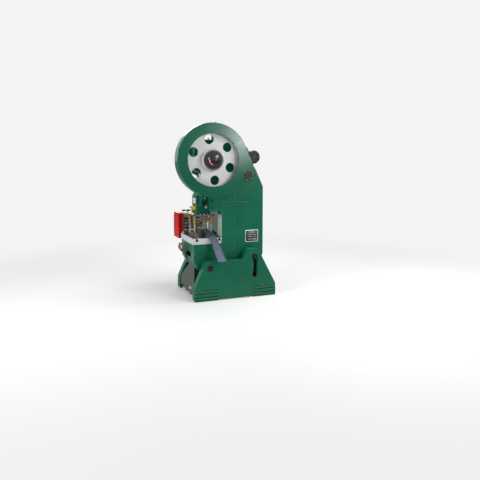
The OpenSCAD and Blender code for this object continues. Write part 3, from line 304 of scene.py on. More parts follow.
def worn_paint():
    """Wear and highlight: edges polished by hands and rags, and painted lighter as a highlight.
    Chip: bare spots, where edge and noise agree.

    Dust: the larger of a share for low places and a share for level ones, times a cloudy noise.
    """
    tree, given, out = new_group(
        "worn paint",
        [("Vector", "Vector", (0, 0, 0)), ("Edge", "Float", 0.0), ("Amount", "Float", 0.5),
         ("Dust top", "Float", 0.4)],
        [("Wear and highlight", "Float"), ("Chip", "Float"), ("Dust", "Float")])
    broad = noise(tree, given["Vector"], 14.0, 4.0)
    fine = noise(tree, given["Vector"], 95.0, 5.0, 0.65)
    # Edges are painted lighter here: worn paint and a painted highlight in one.
    worn_and_highlit = math_node(tree, "MULTIPLY", given["Edge"], stretch(tree, broad, 0.3, 0.7, 0.35, 1.0))
    tree.links.new(math_node(tree, "MULTIPLY", worn_and_highlit, given["Amount"], clamp=True), out.inputs["Wear and highlight"])
    spots = math_node(tree, "MULTIPLY", given["Edge"], stretch(tree, fine, 0.56, 0.66))
    where = math_node(tree, "MULTIPLY", spots, stretch(tree, broad, 0.5, 0.62))
    tree.links.new(math_node(tree, "MULTIPLY", where, given["Amount"], clamp=True), out.inputs["Chip"])
    height = put(tree, "ShaderNodeSeparateXYZ", {0: given["Vector"]}).outputs["Z"]
    low = stretch(tree, height, given["Dust top"], 0.0)
    normal = put(tree, "ShaderNodeNewGeometry").outputs["Normal"]
    up = put(tree, "ShaderNodeSeparateXYZ", {0: normal}).outputs["Z"]
    flat = math_node(tree, "MULTIPLY", stretch(tree, up, 0.7, 1.0), 0.35)
    cloud = stretch(tree, broad, 0.25, 0.75, 0.2, 0.8)
    dust = math_node(tree, "MULTIPLY", math_node(tree, "MAXIMUM", low, flat), cloud)
    tree.links.new(dust, out.inputs["Dust"])
    return tree


def lathe_marks():
    """Rings round the X axis: x + sqrt(y^2 + z^2) drives one-way noise, so each turn has one tone."""
    tree, given, out = new_group(
        "lathe marks", [("Vector", "Vector", (0, 0, 0)), ("Rings", "Float", 400.0)],
        [("Height", "Float"), ("Tone", "Float")])
    part = put(tree, "ShaderNodeSeparateXYZ", {0: given["Vector"]})
    flat = put(tree, "ShaderNodeCombineXYZ", {"X": 0.0, "Y": part.outputs["Y"], "Z": part.outputs["Z"]})
    radius = put(tree, "ShaderNodeVectorMath", {0: flat.outputs[0]}, operation="LENGTH").outputs["Value"]
    along = math_node(tree, "ADD", radius, part.outputs["X"])
    ring = put(tree, "ShaderNodeTexNoise", {"W": along, "Scale": given["Rings"], "Detail": 3.0},
               noise_dimensions="1D")
    slow = put(tree, "ShaderNodeTexNoise", {"W": along, "Scale": 30.0, "Detail": 2.0},
               noise_dimensions="1D")
    tree.links.new(ring.outputs["Fac"], out.inputs["Height"])
    tree.links.new(stretch(tree, slow.outputs["Fac"], 0.3, 0.7), out.inputs["Tone"])
    return tree


def ground_marks():
    """Scratches along one axis: noise whose coordinates are pressed together along that axis."""
    tree, given, out = new_group(
        "ground marks", [("Vector", "Vector", (0, 0, 0)), ("Stretch", "Vector", (8, 300, 300))],
        [("Height", "Float"), ("Tone", "Float")])
    pressed = put(tree, "ShaderNodeVectorMath", {0: given["Vector"], 1: given["Stretch"]},
                  operation="MULTIPLY")
    tree.links.new(noise(tree, pressed.outputs[0], 1.0, 4.0, 0.6), out.inputs["Height"])
    tree.links.new(stretch(tree, noise(tree, given["Vector"], 22.0, 4.0), 0.3, 0.7), out.inputs["Tone"])
    return tree


EDGES, SKIN, WORN, LATHE, GROUND = soft_edges(), casting_skin(), worn_paint(), lathe_marks(), ground_marks()
print("groups:", [g.name for g in bpy.data.node_groups])


def use(tree, group, **values):
    """Places a node group; an underscore in a name stands for a space."""
    node = put(tree, "ShaderNodeGroup", node_tree=group)
    return fill(tree, node, {key.replace("_", " "): value for key, value in values.items()}).outputs


# %% [markdown]
# Most of the press is painted iron or painted sheet steel. Paint on a casting shows the lumps of
# the mould and sits thin on the edges, and paint on sheet is smoother and glossier. The edges are
# painted lighter, as worn paint and as a painted highlight. One material could serve all, but the
# coats differ in colour, gloss and wear. One function makes them, so that a reader can compare
# their values, and a zone lets a solid carry a second finish.

# %% Finishes: paint
def rgb(red, green, blue):
    """A colour as a picture shows it, 0 to 255, turned into light: ((c / 255 + 0.055) / 1.055) ** 2.4."""
    c = np.array([red, green, blue]) / 255.0
    return tuple((((c + 0.055) / 1.055) ** 2.4).tolist()) + (1.0,)


def scaled(colour, share, lift=0.0):
    """The colour times share plus lift, held at white."""
    return tuple(min(1.0, c * share + lift) for c in colour[:3]) + (1.0,)


def object_point(tree, centre=(0.0, 0.0, 0.0)):
    """The place on the object in metres, counted from centre."""
    spot = put(tree, "ShaderNodeTexCoord").outputs["Object"]
    return put(tree, "ShaderNodeVectorMath", {0: spot, 1: tuple(centre)}, operation="SUBTRACT").outputs[0]


def bump(tree, height, depth, normal):
    """A normal that leans with height, which is a number from 0 to 1 over a real depth in metres."""
    values = {"Height": height, "Normal": normal, "Distance": depth, "Strength": 1.0}
    return put(tree, "ShaderNodeBump", values).outputs[0]


def finish_material(name, tree, colour, rough, metal, normal, **sockets):
    """Closes a material with one Principled shader; the constants go straight to its sockets."""
    values = {"Base Color": colour, "Roughness": rough, "Metallic": metal, "Normal": normal}
    values.update({key.replace("_", " "): value for key, value in sockets.items()})
    shader = put(tree, "ShaderNodeBsdfPrincipled", values)
    put(tree, "ShaderNodeOutputMaterial", {"Surface": shader.outputs[0]})


def blend_value(tree, share, low, high):
    """A number between low and high, by share."""
    return put(tree, "ShaderNodeMix", {0: share, 2: low, 3: high}, data_type="FLOAT").outputs[0]


def between(axis, low, high):
    """A mask that is 1 where the coordinate lies between low and high in metres."""
    def mask(tree, spot):
        value = put(tree, "ShaderNodeSeparateXYZ", {0: spot}).outputs[axis]
        above = math_node(tree, "GREATER_THAN", value, low)
        return math_node(tree, "MULTIPLY", above, math_node(tree, "LESS_THAN", value, high))
    return mask


def about(centre, low, high):
    """A mask that is 1 where the distance from an axis along X through centre lies between low and high."""
    def mask(tree, spot):
        away = put(tree, "ShaderNodeVectorMath", {0: spot, 1: centre}, operation="SUBTRACT").outputs[0]
        part = put(tree, "ShaderNodeSeparateXYZ", {0: away})
        square = math_node(tree, "ADD", math_node(tree, "POWER", part.outputs["Y"], 2.0),
                           math_node(tree, "POWER", part.outputs["Z"], 2.0))
        radius = math_node(tree, "SQRT", square)
        above = math_node(tree, "GREATER_THAN", radius, low)
        return math_node(tree, "MULTIPLY", above, math_node(tree, "LESS_THAN", radius, high))
    return mask


def all_of(*masks):
    """A mask that is 1 where every given mask is."""
    def mask(tree, spot):
        value = masks[0](tree, spot)
        for other in masks[1:]:
            value = math_node(tree, "MULTIPLY", value, other(tree, spot))
        return value
    return mask


BARE_IRON, DUST, DUST_SHARE = rgb(74, 72, 68), rgb(140, 136, 126), 0.09


def painted(name, colour, wear_and_highlight_colour, rough=0.36, share=0.7, depth=0.0012, lumps=9.0, grain=260.0,
            wear=0.5, dust=0.35, radius=0.004, coat=0.25, patch=0.12, shine=0.25, zones=()):
    """Paint: broad patches of tone, rubbed and chipped edges with a painted highlight, dust low down, and a
    bump of lumps and grain.

    Each zone is (mask function, colour, roughness, metallic) for a place with another coat or none.
    """
    material = bpy.data.materials.new(name)
    tree = open_tree(material)
    spot = object_point(tree)
    edges = use(tree, EDGES, Radius=radius)
    skin = use(tree, SKIN, Vector=spot, Lumps=lumps, Grain=grain, Share=share)
    worn = use(tree, WORN, Vector=spot, Edge=edges["Edge"], Amount=wear, Dust_top=dust)
    tone = mix_colour(tree, skin["Patch"], scaled(colour, 1.0 - patch), scaled(colour, 1.0 + patch))
    # Edges take the lighter edge colour: worn paint and a painted highlight.
    tone = mix_colour(tree, worn["Wear and highlight"], tone, wear_and_highlight_colour)
    tone = mix_colour(tree, worn["Chip"], tone, BARE_IRON)
    tone = mix_colour(tree, math_node(tree, "MULTIPLY", worn["Dust"], DUST_SHARE), tone, DUST)
    gloss = stretch(tree, skin["Patch"], 0.0, 1.0, rough - 0.05, rough + 0.07)
    gloss = math_node(tree, "ADD", gloss, math_node(tree, "MULTIPLY", worn["Dust"], 0.22), clamp=True)
    normal = bump(tree, skin["Height"], depth, edges["Normal"])
    metal = 0.0
    for mask_of, zone_colour, zone_rough, zone_metal in zones:
        mask = mask_of(tree, spot)
        shade = mix_colour(tree, skin["Patch"], scaled(zone_colour, 0.86), zone_colour)
        tone = mix_colour(tree, mask, tone, shade)
        gloss = blend_value(tree, mask, gloss, zone_rough)
        metal = blend_value(tree, mask, metal, zone_metal)
    finish_material(name, tree, tone, gloss, metal, normal, Specular_IOR_Level=shine, Coat_Weight=coat,
                    Coat_Roughness=0.22)
    return material


GREEN = rgb(3, 91, 66)
# The light green of the edges is worn paint and a painted highlight.
GREEN_EDGE_WEAR_AND_HIGHLIGHT = rgb(118, 178, 150)
CASTING = dict(wear=0.75, radius=0.008, coat=0.05, shine=0.15)
green_casting = painted("green casting", GREEN, GREEN_EDGE_WEAR_AND_HIGHLIGHT, **CASTING)
green_sheet = painted("green sheet", rgb(2, 84, 60), rgb(128, 188, 162), rough=0.2, share=0.93, depth=0.0016,
                      lumps=4.0, grain=180.0, wear=0.5, dust=0.0, radius=0.004, coat=0.15, shine=0.2,
                      patch=0.08)
green_wheel = painted("green wheel", rgb(12, 100, 74), rgb(112, 146, 126), rough=0.34, wear=0.8, dust=0.0)
gray_box = painted("gray box", rgb(98, 104, 98), rgb(166, 168, 162), rough=0.42, depth=0.0006,
                   lumps=14.0, wear=0.6, dust=0.3, radius=0.003, patch=0.08, coat=0.1)
gray_paint = painted("gray paint", rgb(58, 63, 57), rgb(130, 134, 128), rough=0.45, depth=0.0006, lumps=12.0,
                     wear=0.6, dust=0.5, radius=0.003, patch=0.1, coat=0.06)
black_paint = painted("black paint", rgb(12, 12, 13), rgb(76, 76, 78), rough=0.34, depth=0.0006, lumps=20.0,
                      wear=0.5, dust=0.0, radius=0.003, patch=0.2, coat=0.1)
motor_paint = painted("motor paint", rgb(36, 44, 50), rgb(98, 104, 108), rough=0.36, depth=0.0008, lumps=24.0,
                      wear=0.6, dust=0.0, radius=0.002, patch=0.15, coat=0.1)
red_paint = painted("red paint", rgb(180, 4, 14), rgb(226, 92, 84), rough=0.3, share=0.9, depth=0.0006,
                    lumps=5.0, wear=0.45, dust=0.0, radius=0.004, patch=0.08, coat=0.0, shine=0.08)
khaki_paint = painted("khaki paint", rgb(158, 148, 102), rgb(196, 188, 146), rough=0.42, depth=0.0008,
                      lumps=16.0, wear=0.7, dust=0.0, radius=0.003, patch=0.14)
yellow_paint = painted("yellow paint", rgb(190, 164, 40), rgb(120, 104, 60), rough=0.4, depth=0.0006,
                       lumps=22.0, wear=0.9, dust=0.0, radius=0.002, patch=0.12)
print("materials after the paints:", len(bpy.data.materials))

# %% [markdown]
# Shafts, rolls, dies and screws are bare. A turned part has rings round its axis, and a ground
# one has straight scratches. Both could be cut into the mesh, but they are finer than a hair, so
# a bump and a change of gloss show them better. Old oil leaves brown stains.

# %% Finishes: bare metal
def metal_finish(name, colour, dark, rough=0.3, centre=None, rings=500.0, stretch_by=(6, 260, 260),
                 depth=0.00006, radius=0.0015, metal=1.0, oil=0.3):
    """Bare metal with stains of old oil: lathe rings round centre if it is given, or else scratches."""
    material = bpy.data.materials.new(name)
    tree = open_tree(material)
    spot = object_point(tree, centre or (0.0, 0.0, 0.0))
    edges = use(tree, EDGES, Radius=radius)
    if centre is None:
        marks = use(tree, GROUND, Vector=spot, Stretch=stretch_by)
    else:
        marks = use(tree, LATHE, Vector=spot, Rings=rings)
    stain = stretch(tree, noise(tree, spot, 17.0, 5.0, 0.6), 0.42, 0.72, 0.0, oil)
    tone = mix_colour(tree, marks["Tone"], scaled(colour, 0.88), colour)
    tone = mix_colour(tree, stain, tone, dark)
    tone = mix_colour(tree, edges["Edge"], tone, scaled(colour, 1.3))
    gloss = stretch(tree, marks["Height"], 0.3, 0.7, rough - 0.06, rough + 0.1)
    gloss = math_node(tree, "ADD", gloss, math_node(tree, "MULTIPLY", stain, 0.2), clamp=True)
    finish_material(name, tree, tone, gloss, metal, bump(tree, marks["Height"], depth, edges["Normal"]))
    return material


STEEL, OILED = rgb(186, 186, 188), rgb(84, 76, 66)
ground_steel = metal_finish("ground steel", STEEL, OILED)
crank_steel = metal_finish("turned crank steel", STEEL, OILED, centre=CRANK)
shaft_steel = metal_finish("turned shaft steel", STEEL, OILED, centre=SHAFT)
die_steel = metal_finish("die steel", rgb(118, 110, 104), rgb(52, 42, 35), rough=0.36, oil=0.75)
sheet_steel = metal_finish("rolled sheet", rgb(82, 94, 108), rgb(56, 62, 69), rough=0.4, oil=0.35,
                           stretch_by=(9, 260, 9), depth=0.00004, metal=0.55)
bronze = metal_finish("bronze", rgb(176, 142, 92), rgb(92, 68, 40), rough=0.32, oil=0.5)
bright_bolt = metal_finish("zinc plated bolt", rgb(200, 200, 198), rgb(120, 112, 92), rough=0.28, oil=0.25,
                           radius=0.0008)
black_bolt = metal_finish("blackened bolt", rgb(52, 50, 50), rgb(30, 24, 20), rough=0.4, oil=0.5,
                          radius=0.0008)
plate_metal = metal_finish("bare plate", rgb(206, 208, 208), rgb(150, 150, 148), rough=0.3, oil=0.15,
                           stretch_by=(300, 10, 300), radius=0.0008)
print("materials after the metals:", len(bpy.data.materials))

# %% [markdown]
# A few solids carry two finishes. The gear has painted arms and a bare toothed rim, the throat of
# the frame is painted a light gray so that the dies are easy to see, and its inner sides are
# painted lighter still as painted light, since they lie in shade. The slots in the legs are painted
# near black and the recesses between the ribs of the feet darker green, both as painted shade, and
# the bolster is painted only on its sides. Splitting the solid would give each its own material,
# but its mesh stays as it is, so a mask made from the place on the object tells them apart.
# `block` is such a mask: it is 1 inside a box in ram millimetres.

# %% Finishes with zones
def block(x, y, z):
    """A mask that is 1 inside the box between (x[0], y[0], z[0]) and (x[1], y[1], z[1])."""
    low, high = at(x[0], y[0], z[0]).tolist(), at(x[1], y[1], z[1]).tolist()
    return all_of(*(between(*limits) for limits in zip("XYZ", low, high)))


ACROSS, ALONG = (-LEG_X, LEG_X), (-2000, 2000)  # ranges of x and y that hold the whole press
THROAT_RANGE = (BED_Z + 1, THROAT_TOP)
GROOVE_TOP, SLOT_FLOOR = 177.5, 870.0
RIM_RADIUS, HUB_RADIUS = 0.4745, 0.153  # metres: the gear is bare outside the one and inside the other
throat = block(ACROSS, (THROAT_Y - 0.6, THROAT_Y + 0.6), THROAT_RANGE)
# The throat's inner sides are painted far lighter than its back wall: painted light where they lie in shade.
throat_sides_painted_light = block((-THROAT_X, THROAT_X), (THROAT_Y - 1, THROAT_Y + 139), THROAT_RANGE)
# The recess between the ribs of each foot is painted darker green: painted shade.
groove_shade = [block(sorted((side * (LEG_X + 2), side * (LEG_X + 5.2))), ALONG, (0, GROOVE_TOP))
           for side in (1, -1)]
# The inside of each slot in the legs is painted near black: painted shade.
tilt_slot_shade = [all_of(about(PIVOT, 0.700, 0.760),
                     block(sorted((side * 399, side * 516)), (548, 728), (300, 670)))
              for side in (1, -1)]
leg_paint = painted("green leg casting", GREEN, GREEN_EDGE_WEAR_AND_HIGHLIGHT, dust=0.4, **CASTING,
                    zones=[(mask, rgb(2, 52, 38), 0.6, 0.0) for mask in groove_shade]
                    + [(mask, rgb(14, 24, 20), 0.5, 0.0) for mask in tilt_slot_shade])
frame_paint = painted("green frame casting", GREEN, GREEN_EDGE_WEAR_AND_HIGHLIGHT, dust=0.5, **CASTING,
                      zones=[(throat, rgb(158, 172, 164), 0.45, 0.0),
                             (throat_sides_painted_light, rgb(222, 234, 228), 0.45, 0.0)])
gear_paint = painted("gear with bare rim", rgb(206, 207, 208), rgb(232, 232, 230), rough=0.4, depth=0.0008,
                     lumps=12.0, wear=0.4, dust=0.0, radius=0.003, patch=0.06, coat=0.1,
                     zones=[(about(CRANK, RIM_RADIUS, 0.6), rgb(112, 104, 92), 0.38, 0.9),
                            (about(CRANK, 0.0, HUB_RADIUS), rgb(112, 115, 114), 0.4, 0.35)])
bolster_top = between("Z", (BOLSTER_TOP - 0.4) / 1000, 1.0)
slot_inside = block((0.5 - BOLSTER_X, BOLSTER_X - 0.5), (0.5 - BOLSTER_Y, BOLSTER_Y - 0.5),
                    (SLOT_FLOOR, BOLSTER_TOP - 0.4))
bolster_paint = painted("bolster white sides", rgb(188, 193, 196), rgb(168, 166, 160), rough=0.4,
                        depth=0.0004, lumps=18.0, wear=0.8, dust=0.0, radius=0.002, patch=0.05, coat=0.1,
                        zones=[(bolster_top, rgb(120, 118, 116), 0.34, 0.9),
                               (slot_inside, rgb(52, 48, 44), 0.5, 0.7)])
print("materials after those with zones:", len(bpy.data.materials))

# %% [markdown]
# Buttons, levers and belts are plastic or rubber. Each has one colour all through, so there are
# no chips, and their edges are made a little paler. A fine grain is what the mould leaves.

# %% Finishes: plastic and rubber
def moulded(name, colour, rough=0.35, grain=900.0, depth=0.00008, patch=0.1, radius=0.001):
    """Plastic or rubber: one colour with a slow change of tone, a fine grain and rounded edges."""
    material = bpy.data.materials.new(name)
    tree = open_tree(material)
    spot = object_point(tree)
    edges = use(tree, EDGES, Radius=radius)
    skin = use(tree, SKIN, Vector=spot, Lumps=30.0, Grain=grain, Share=0.2)
    tone = mix_colour(tree, skin["Patch"], scaled(colour, 1.0 - patch), scaled(colour, 1.0 + patch))
    tone = mix_colour(tree, math_node(tree, "MULTIPLY", edges["Edge"], 0.25), tone, scaled(colour, 1.5, 0.02))
    gloss = stretch(tree, skin["Patch"], 0.0, 1.0, rough - 0.04, rough + 0.06)
    finish_material(name, tree, tone, gloss, 0.0, bump(tree, skin["Height"], depth, edges["Normal"]))
    return material


belt_rubber = moulded("belt rubber", rgb(30, 30, 31), rough=0.62, grain=700.0)
black_plastic = moulded("black plastic", rgb(20, 20, 21), rough=0.3)
red_plastic = moulded("red plastic", rgb(190, 24, 24), rough=0.25)
white_plastic = moulded("white plastic", rgb(222, 222, 214), rough=0.28)
dome_gloss = moulded("dark glossy dome", rgb(24, 20, 25), rough=0.12, grain=200.0, depth=0.00003)
print("materials in all:", len(bpy.data.materials))

# %% [markdown]
# Each solid now gets its finish. Giving each node its own line would be easy to read as well, but
# sorting the nodes by finish shows which parts of a press are made alike. A material slot of the
# solid's own object is filled, and its mesh is left as it is.

# %% Dress the solids
finish_of = {
    leg_paint: "leg_right leg_left tie_rods",
    green_casting: "crank_cover motor_plate gib_left gib_right feeder_bracket ram",
    frame_paint: "frame_body",
    green_sheet: "gear_guard belt_guard",
    green_wheel: "flywheel",
    gear_paint: "main_gear",
    bolster_paint: "bolster",
    gray_box: "control_box",
    gray_paint: "scrap_chute",
    black_paint: "pivot_pins guard_cap brake_band brake_drum motor_pulley knockout_stops lifting_eyes",
    motor_paint: "motor_housing motor_fan_cover terminal_box",
    red_paint: "feeder_cover",
    khaki_paint: "feeder_housing",
    yellow_paint: "shank_clamp",
    crank_steel: "crankshaft connecting_rod rod_cap",
    shaft_steel: "drive_shaft pinion",
    ground_steel: "pedal_shaft pedal gib_screws guide_posts knockout_bar upper_roll lower_roll "
                  "motor_shaft ball_screw",
    die_steel: "die_shoe die_block upper_shoe stripper_plate",
    sheet_steel: "exit_chute",
    bronze: "bearing_bushes gear_bush ball_seat guide_bushes",
    black_bolt: "clamp_bolts",
    belt_rubber: "drive_belts",
    dome_gloss: "clutch_cap",
    black_plastic: "feed_lever mode_knob",
    white_plastic: "run_button",
    red_plastic: "stop_button",
}
bare = set(nodes)
for material, names in finish_of.items():
    for name in names.split():
        slots = nodes[name].data.materials
        slots.clear()
        slots.append(material)
        bare.discard(name)
print("solids without a finish:", sorted(bare))

# %% [markdown]
# Screws, plates and springs are small, but there are hundreds of them. Copies of a stock screw
# would do, but here each is worked out where it sits, as whole arrays. There are three kinds of
# shell: a profile turned about an axis, an outline pushed along its normal with a rounded rim,
# and a round section carried along a path. Shells that share a finish and a body become one
# piece.

# %% Shells
def frame_of(axis):
    """Unit vectors u, v and w, with w along the axis and u x v = w."""
    w = np.asarray(axis, float) / np.linalg.norm(axis)
    helper = np.array([0.0, 0.0, 1.0]) if abs(w[2]) < 0.9 else np.array([0.0, 1.0, 0.0])
    u = np.cross(helper, w)
    u /= np.linalg.norm(u)
    return u, np.cross(w, u), w


def turned(origin, axis, profile, sides=24):
    """P(t, k) = origin + h_k axis + r_k (cos t u + sin t v) for profile rows (r_k, h_k) in mm.

    A row with r = 0 is a pole, so it is one point.
    """
    u, v, w = frame_of(axis)
    t = np.arange(sides) * 2 * math.pi / sides
    points, rows, faces, start = [], [], [], 0
    for r, h in profile:
        base = np.asarray(origin, float) + w * h / 1000.0
        ring = base[None, :]
        if r != 0:
            ring = base + (np.cos(t)[:, None] * u + np.sin(t)[:, None] * v) * r / 1000.0
        points.append(ring)
        rows.append((start, len(ring)))
        start += len(ring)
    j = np.arange(sides)
    k = (j + 1) % sides
    for (a, n), (b, m) in zip(rows[:-1], rows[1:]):
        if n > 1 and m > 1:
            faces += np.stack([a + j, a + k, b + k, b + j], axis=1).tolist()
        elif n > 1:
            faces += np.stack([a + j, a + k, np.full(sides, b)], axis=1).tolist()
        elif m > 1:
            faces += np.stack([np.full(sides, a), b + k, b + j], axis=1).tolist()
    return np.concatenate(points), faces


def shrunk(outline, d):
    """The outline moved inwards by d along the mean of its two edge normals, for a run against the clock."""
    before, after = np.roll(outline, 1, axis=0), np.roll(outline, -1, axis=0)
    e, f = outline - before, after - outline
    e /= np.linalg.norm(e, axis=1)[:, None]
    f /= np.linalg.norm(f, axis=1)[:, None]
    n = np.stack([-e[:, 1], e[:, 0]], axis=1) + np.stack([-f[:, 1], f[:, 0]], axis=1)
    n /= np.linalg.norm(n, axis=1)[:, None]
    lean = np.maximum(0.3, (n * np.stack([-e[:, 1], e[:, 0]], axis=1)).sum(axis=1))
    return outline + n * (d / lean)[:, None]


def pushed(origin, u, v, outline, height, rim=1.0):
    """The outline in mm, drawn in u and v, pushed up by height along u x v.

    Its upper rim is a quarter circle: rim (1 - cos a) inwards and height - rim + rim sin a up.
    """
    u, v = np.asarray(u, float), np.asarray(v, float)
    w = np.cross(u, v)
    outline = np.asarray(outline, float)
    a = np.linspace(0, math.pi / 2, 4)
    insets = np.concatenate([[0.0], rim * (1 - np.cos(a))])
    levels = np.concatenate([[0.0], height - rim + rim * np.sin(a)])
    rings = [shrunk(outline, d) if d > 0 else outline for d in insets]
    flat = np.stack(rings)
    across = flat[..., :1] * u + flat[..., 1:] * v
    points = np.asarray(origin, float) + (across + levels[:, None, None] * w) / 1000.0
    n = len(outline)
    i, j = np.meshgrid(np.arange(len(rings) - 1), np.arange(n), indexing="ij")
    i, j = i.ravel(), j.ravel()
    k = (j + 1) % n
    faces = np.stack([i * n + j, i * n + k, (i + 1) * n + k, (i + 1) * n + j], axis=1).tolist()
    faces.append(list(range((len(rings) - 1) * n, len(rings) * n)))
    faces.append(list(range(n - 1, -1, -1)))
    return points.reshape(-1, 3), faces


def swept(path, radius, sides=10):
    """A round section along a path: P(k, t) = path_k + radius (cos t n_k + sin t b_k).

    The normal n is carried from point to point: the part of it along the new direction is taken away.
    """
    path = np.asarray(path, float)
    step = np.gradient(path, axis=0)
    step /= np.linalg.norm(step, axis=1)[:, None]
    n = np.empty_like(path)
    n[0] = frame_of(step[0])[0]
    for k in range(1, len(path)):
        n[k] = n[k - 1] - step[k] * (n[k - 1] @ step[k])
        n[k] /= np.linalg.norm(n[k])
    b = np.cross(step, n)
    t = np.arange(sides) * 2 * math.pi / sides
    radius = np.broadcast_to(radius, len(path))[:, None, None] / 1000.0
    around = np.cos(t)[None, :, None] * n[:, None] + np.sin(t)[None, :, None] * b[:, None]
    points = path[:, None] + radius * around
    i, j = np.meshgrid(np.arange(len(path) - 1), np.arange(sides), indexing="ij")
    i, j = i.ravel(), j.ravel()
    k = (j + 1) % sides
    low, high = i * sides, (i + 1) * sides
    faces = np.stack([low + j, low + k, high + k, high + j], axis=1).tolist()
    faces.append(list(range(sides - 1, -1, -1)))
    faces.append(list(range((len(path) - 1) * sides, len(path) * sides)))
    return points.reshape(-1, 3), faces


def piece(name, shells, body, material, angle=35.0):
    """One object from its shells, riding on a CAD body, smooth where faces meet at less than the angle."""
    points, faces, start = [], [], 0
    for shell_points, shell_faces in shells:
        points.append(shell_points)
        faces += [[index + start for index in face] for face in shell_faces]
        start += len(shell_points)
    mesh = bpy.data.meshes.new(name)
    mesh.from_pydata(np.concatenate(points).tolist(), [], faces)
    mesh.polygons.foreach_set("use_smooth", np.ones(len(faces), bool))
    mesh.set_sharp_from_angle(angle=math.radians(angle))
    mesh.materials.append(material)
    obj = bpy.data.objects.new(name, mesh)
    bpy.context.scene.collection.objects.link(obj)
    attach(obj, body)
    print(name, "faces:", len(faces))
    return obj


def rounded_box(width, height, radius, corner_steps=5):
    """A rectangle about zero with round corners: corner centre + radius (cos t, sin t)."""
    t = np.linspace(0, math.pi / 2, corner_steps + 1)
    centres = np.array([[1, 1], [-1, 1], [-1, -1], [1, -1]]) * (np.array([width, height]) / 2 - radius)
    angles = t[None, :] + np.arange(4)[:, None] * math.pi / 2
    arcs = centres[:, None] + radius * np.stack([np.cos(angles), np.sin(angles)], axis=-1)
    return arcs.reshape(-1, 2)


def hexagon(radius, turn=0.0):
    """Six corners at radius from the middle."""
    t = np.arange(6) * math.pi / 3 + turn
    return np.stack([np.cos(t), np.sin(t)], axis=1) * radius


def hex_bolt(spot, axis, size, turn=0.0):
    """A hexagon head 0.65 size high and 1.76 size wide, on a washer; size is the thread in mm."""
    u, v, w = frame_of(axis)
    base = np.asarray(spot, float)
    rows = [(0, 0), (size, 0), (size, 0.16 * size), (0.9 * size, 0.2 * size), (0, 0.2 * size)]
    washer = turned(base, axis, rows, 20)
    head = pushed(base + w * 0.0002 * size, u, v, hexagon(0.88 * size, turn), 0.65 * size, rim=0.1 * size)
    return [washer, head]


def cap_screw(spot, axis, size):
    """A socket head: a cylinder 1.5 size wide and one size high, with a round hole half as deep."""
    r, s = 0.75 * size, 0.42 * size
    body = turned(spot, axis, [(0, 0), (r, 0), (r, 0.85 * size), (0.9 * r, size), (s, size)], 20)
    hole = turned(spot, axis, [(s, size), (s * 0.98, 0.5 * size), (0, 0.5 * size)], 20)
    points = np.concatenate([body[0], hole[0][20:]])
    top = len(body[0]) - 20
    faces = body[1] + [[top + i if i < 20 else len(body[0]) + i - 20 for i in face] for face in hole[1]]
    return [(points, faces)]


def button_screw(spot, axis, size):
    """A round head: r = size cos a, h = 0.45 size sin a."""
    a = np.linspace(0, math.pi / 2, 6)
    rows = [(0, 0)] + list(zip((size * np.cos(a))[:-1].tolist(), (0.45 * size * np.sin(a))[:-1].tolist()))
    return [turned(spot, axis, rows + [(0, 0.45 * size)], 16)]


X, Y, Z = np.eye(3)
print("shells are ready")

# %% [markdown]
# A press carries a few riveted plates. A picture could be laid on them, but here nothing is
# written, so each is a thin sheet with round corners: on the side of the frame a bare plate with a
# dark field and gray boxes, and on the ram a small white plate with a red band. The raised strip
# on the side is in the solids and stays a bare painted rib.

# %% Plates
def plate(name, origin, u, v, width, height, thick, radius, body, material):
    """A flat plate with round corners and a softly rounded rim, centred on origin."""
    return piece(name, [pushed(origin, u, v, rounded_box(width, height, radius), thick, rim=0.4 * thick)],
                 body, material)


plate_y, plate_z = 708.0, 927.0
plate("side_plate", at(BODY_X, plate_y, plate_z), Y, Z, 214, 188, 2.5, 6,
      "frame", plate_metal)
plate("side_plate_field", at(BODY_X + 2.4, plate_y, plate_z), Y, Z, 192, 166, 0.6, 3,
      "frame", black_paint)
places = ((-8, 56, 120, 26), (-30, 16, 84, 20), (46, 16, 52, 20), (-30, -16, 84, 16), (46, -16, 52, 16),
          (8, -54, 150, 22))
boxes = [pushed(at(BODY_X + 2.9, plate_y + y, plate_z + z), Y, Z, rounded_box(width, height, 2), 0.5, rim=0.2)
         for y, z, width, height in places]
piece("side_plate_boxes", boxes, "frame", gray_box)
rivets = [shell for dy in (-98, 98) for dz in (-85, 85)
          for shell in button_screw(at(BODY_X + 2.4, plate_y + dy, plate_z + dz), X, 4.5)]
piece("side_plate_rivets", rivets, "frame", bright_bolt)
plate("ram_plate", at(8, RAM_FRONT, 1472), X, Z, 130, 78, 2, 4, "ram", white_plastic)
plate("ram_plate_band", at(8, RAM_FRONT - 1.9, 1472), X, Z, 30, 56, 0.6, 2, "ram", red_plastic)
plate("apron_plate", at(-237, -227, 798), X, Z, 54, 30, 1.5, 3, "frame", plate_metal)
print("plates are on the frame and the ram")

# %% [markdown]
# The dark dome on the gear's hub carries a pink arrow that shows which way the gear turns. It
# could be a mask in the dome's material, but its edge would be soft, so it is a thin sheet laid
# on the dome: its middle line is part of a circle round the crank's axis, its width shrinks to a
# point at the head, and its height follows the dome's profile.

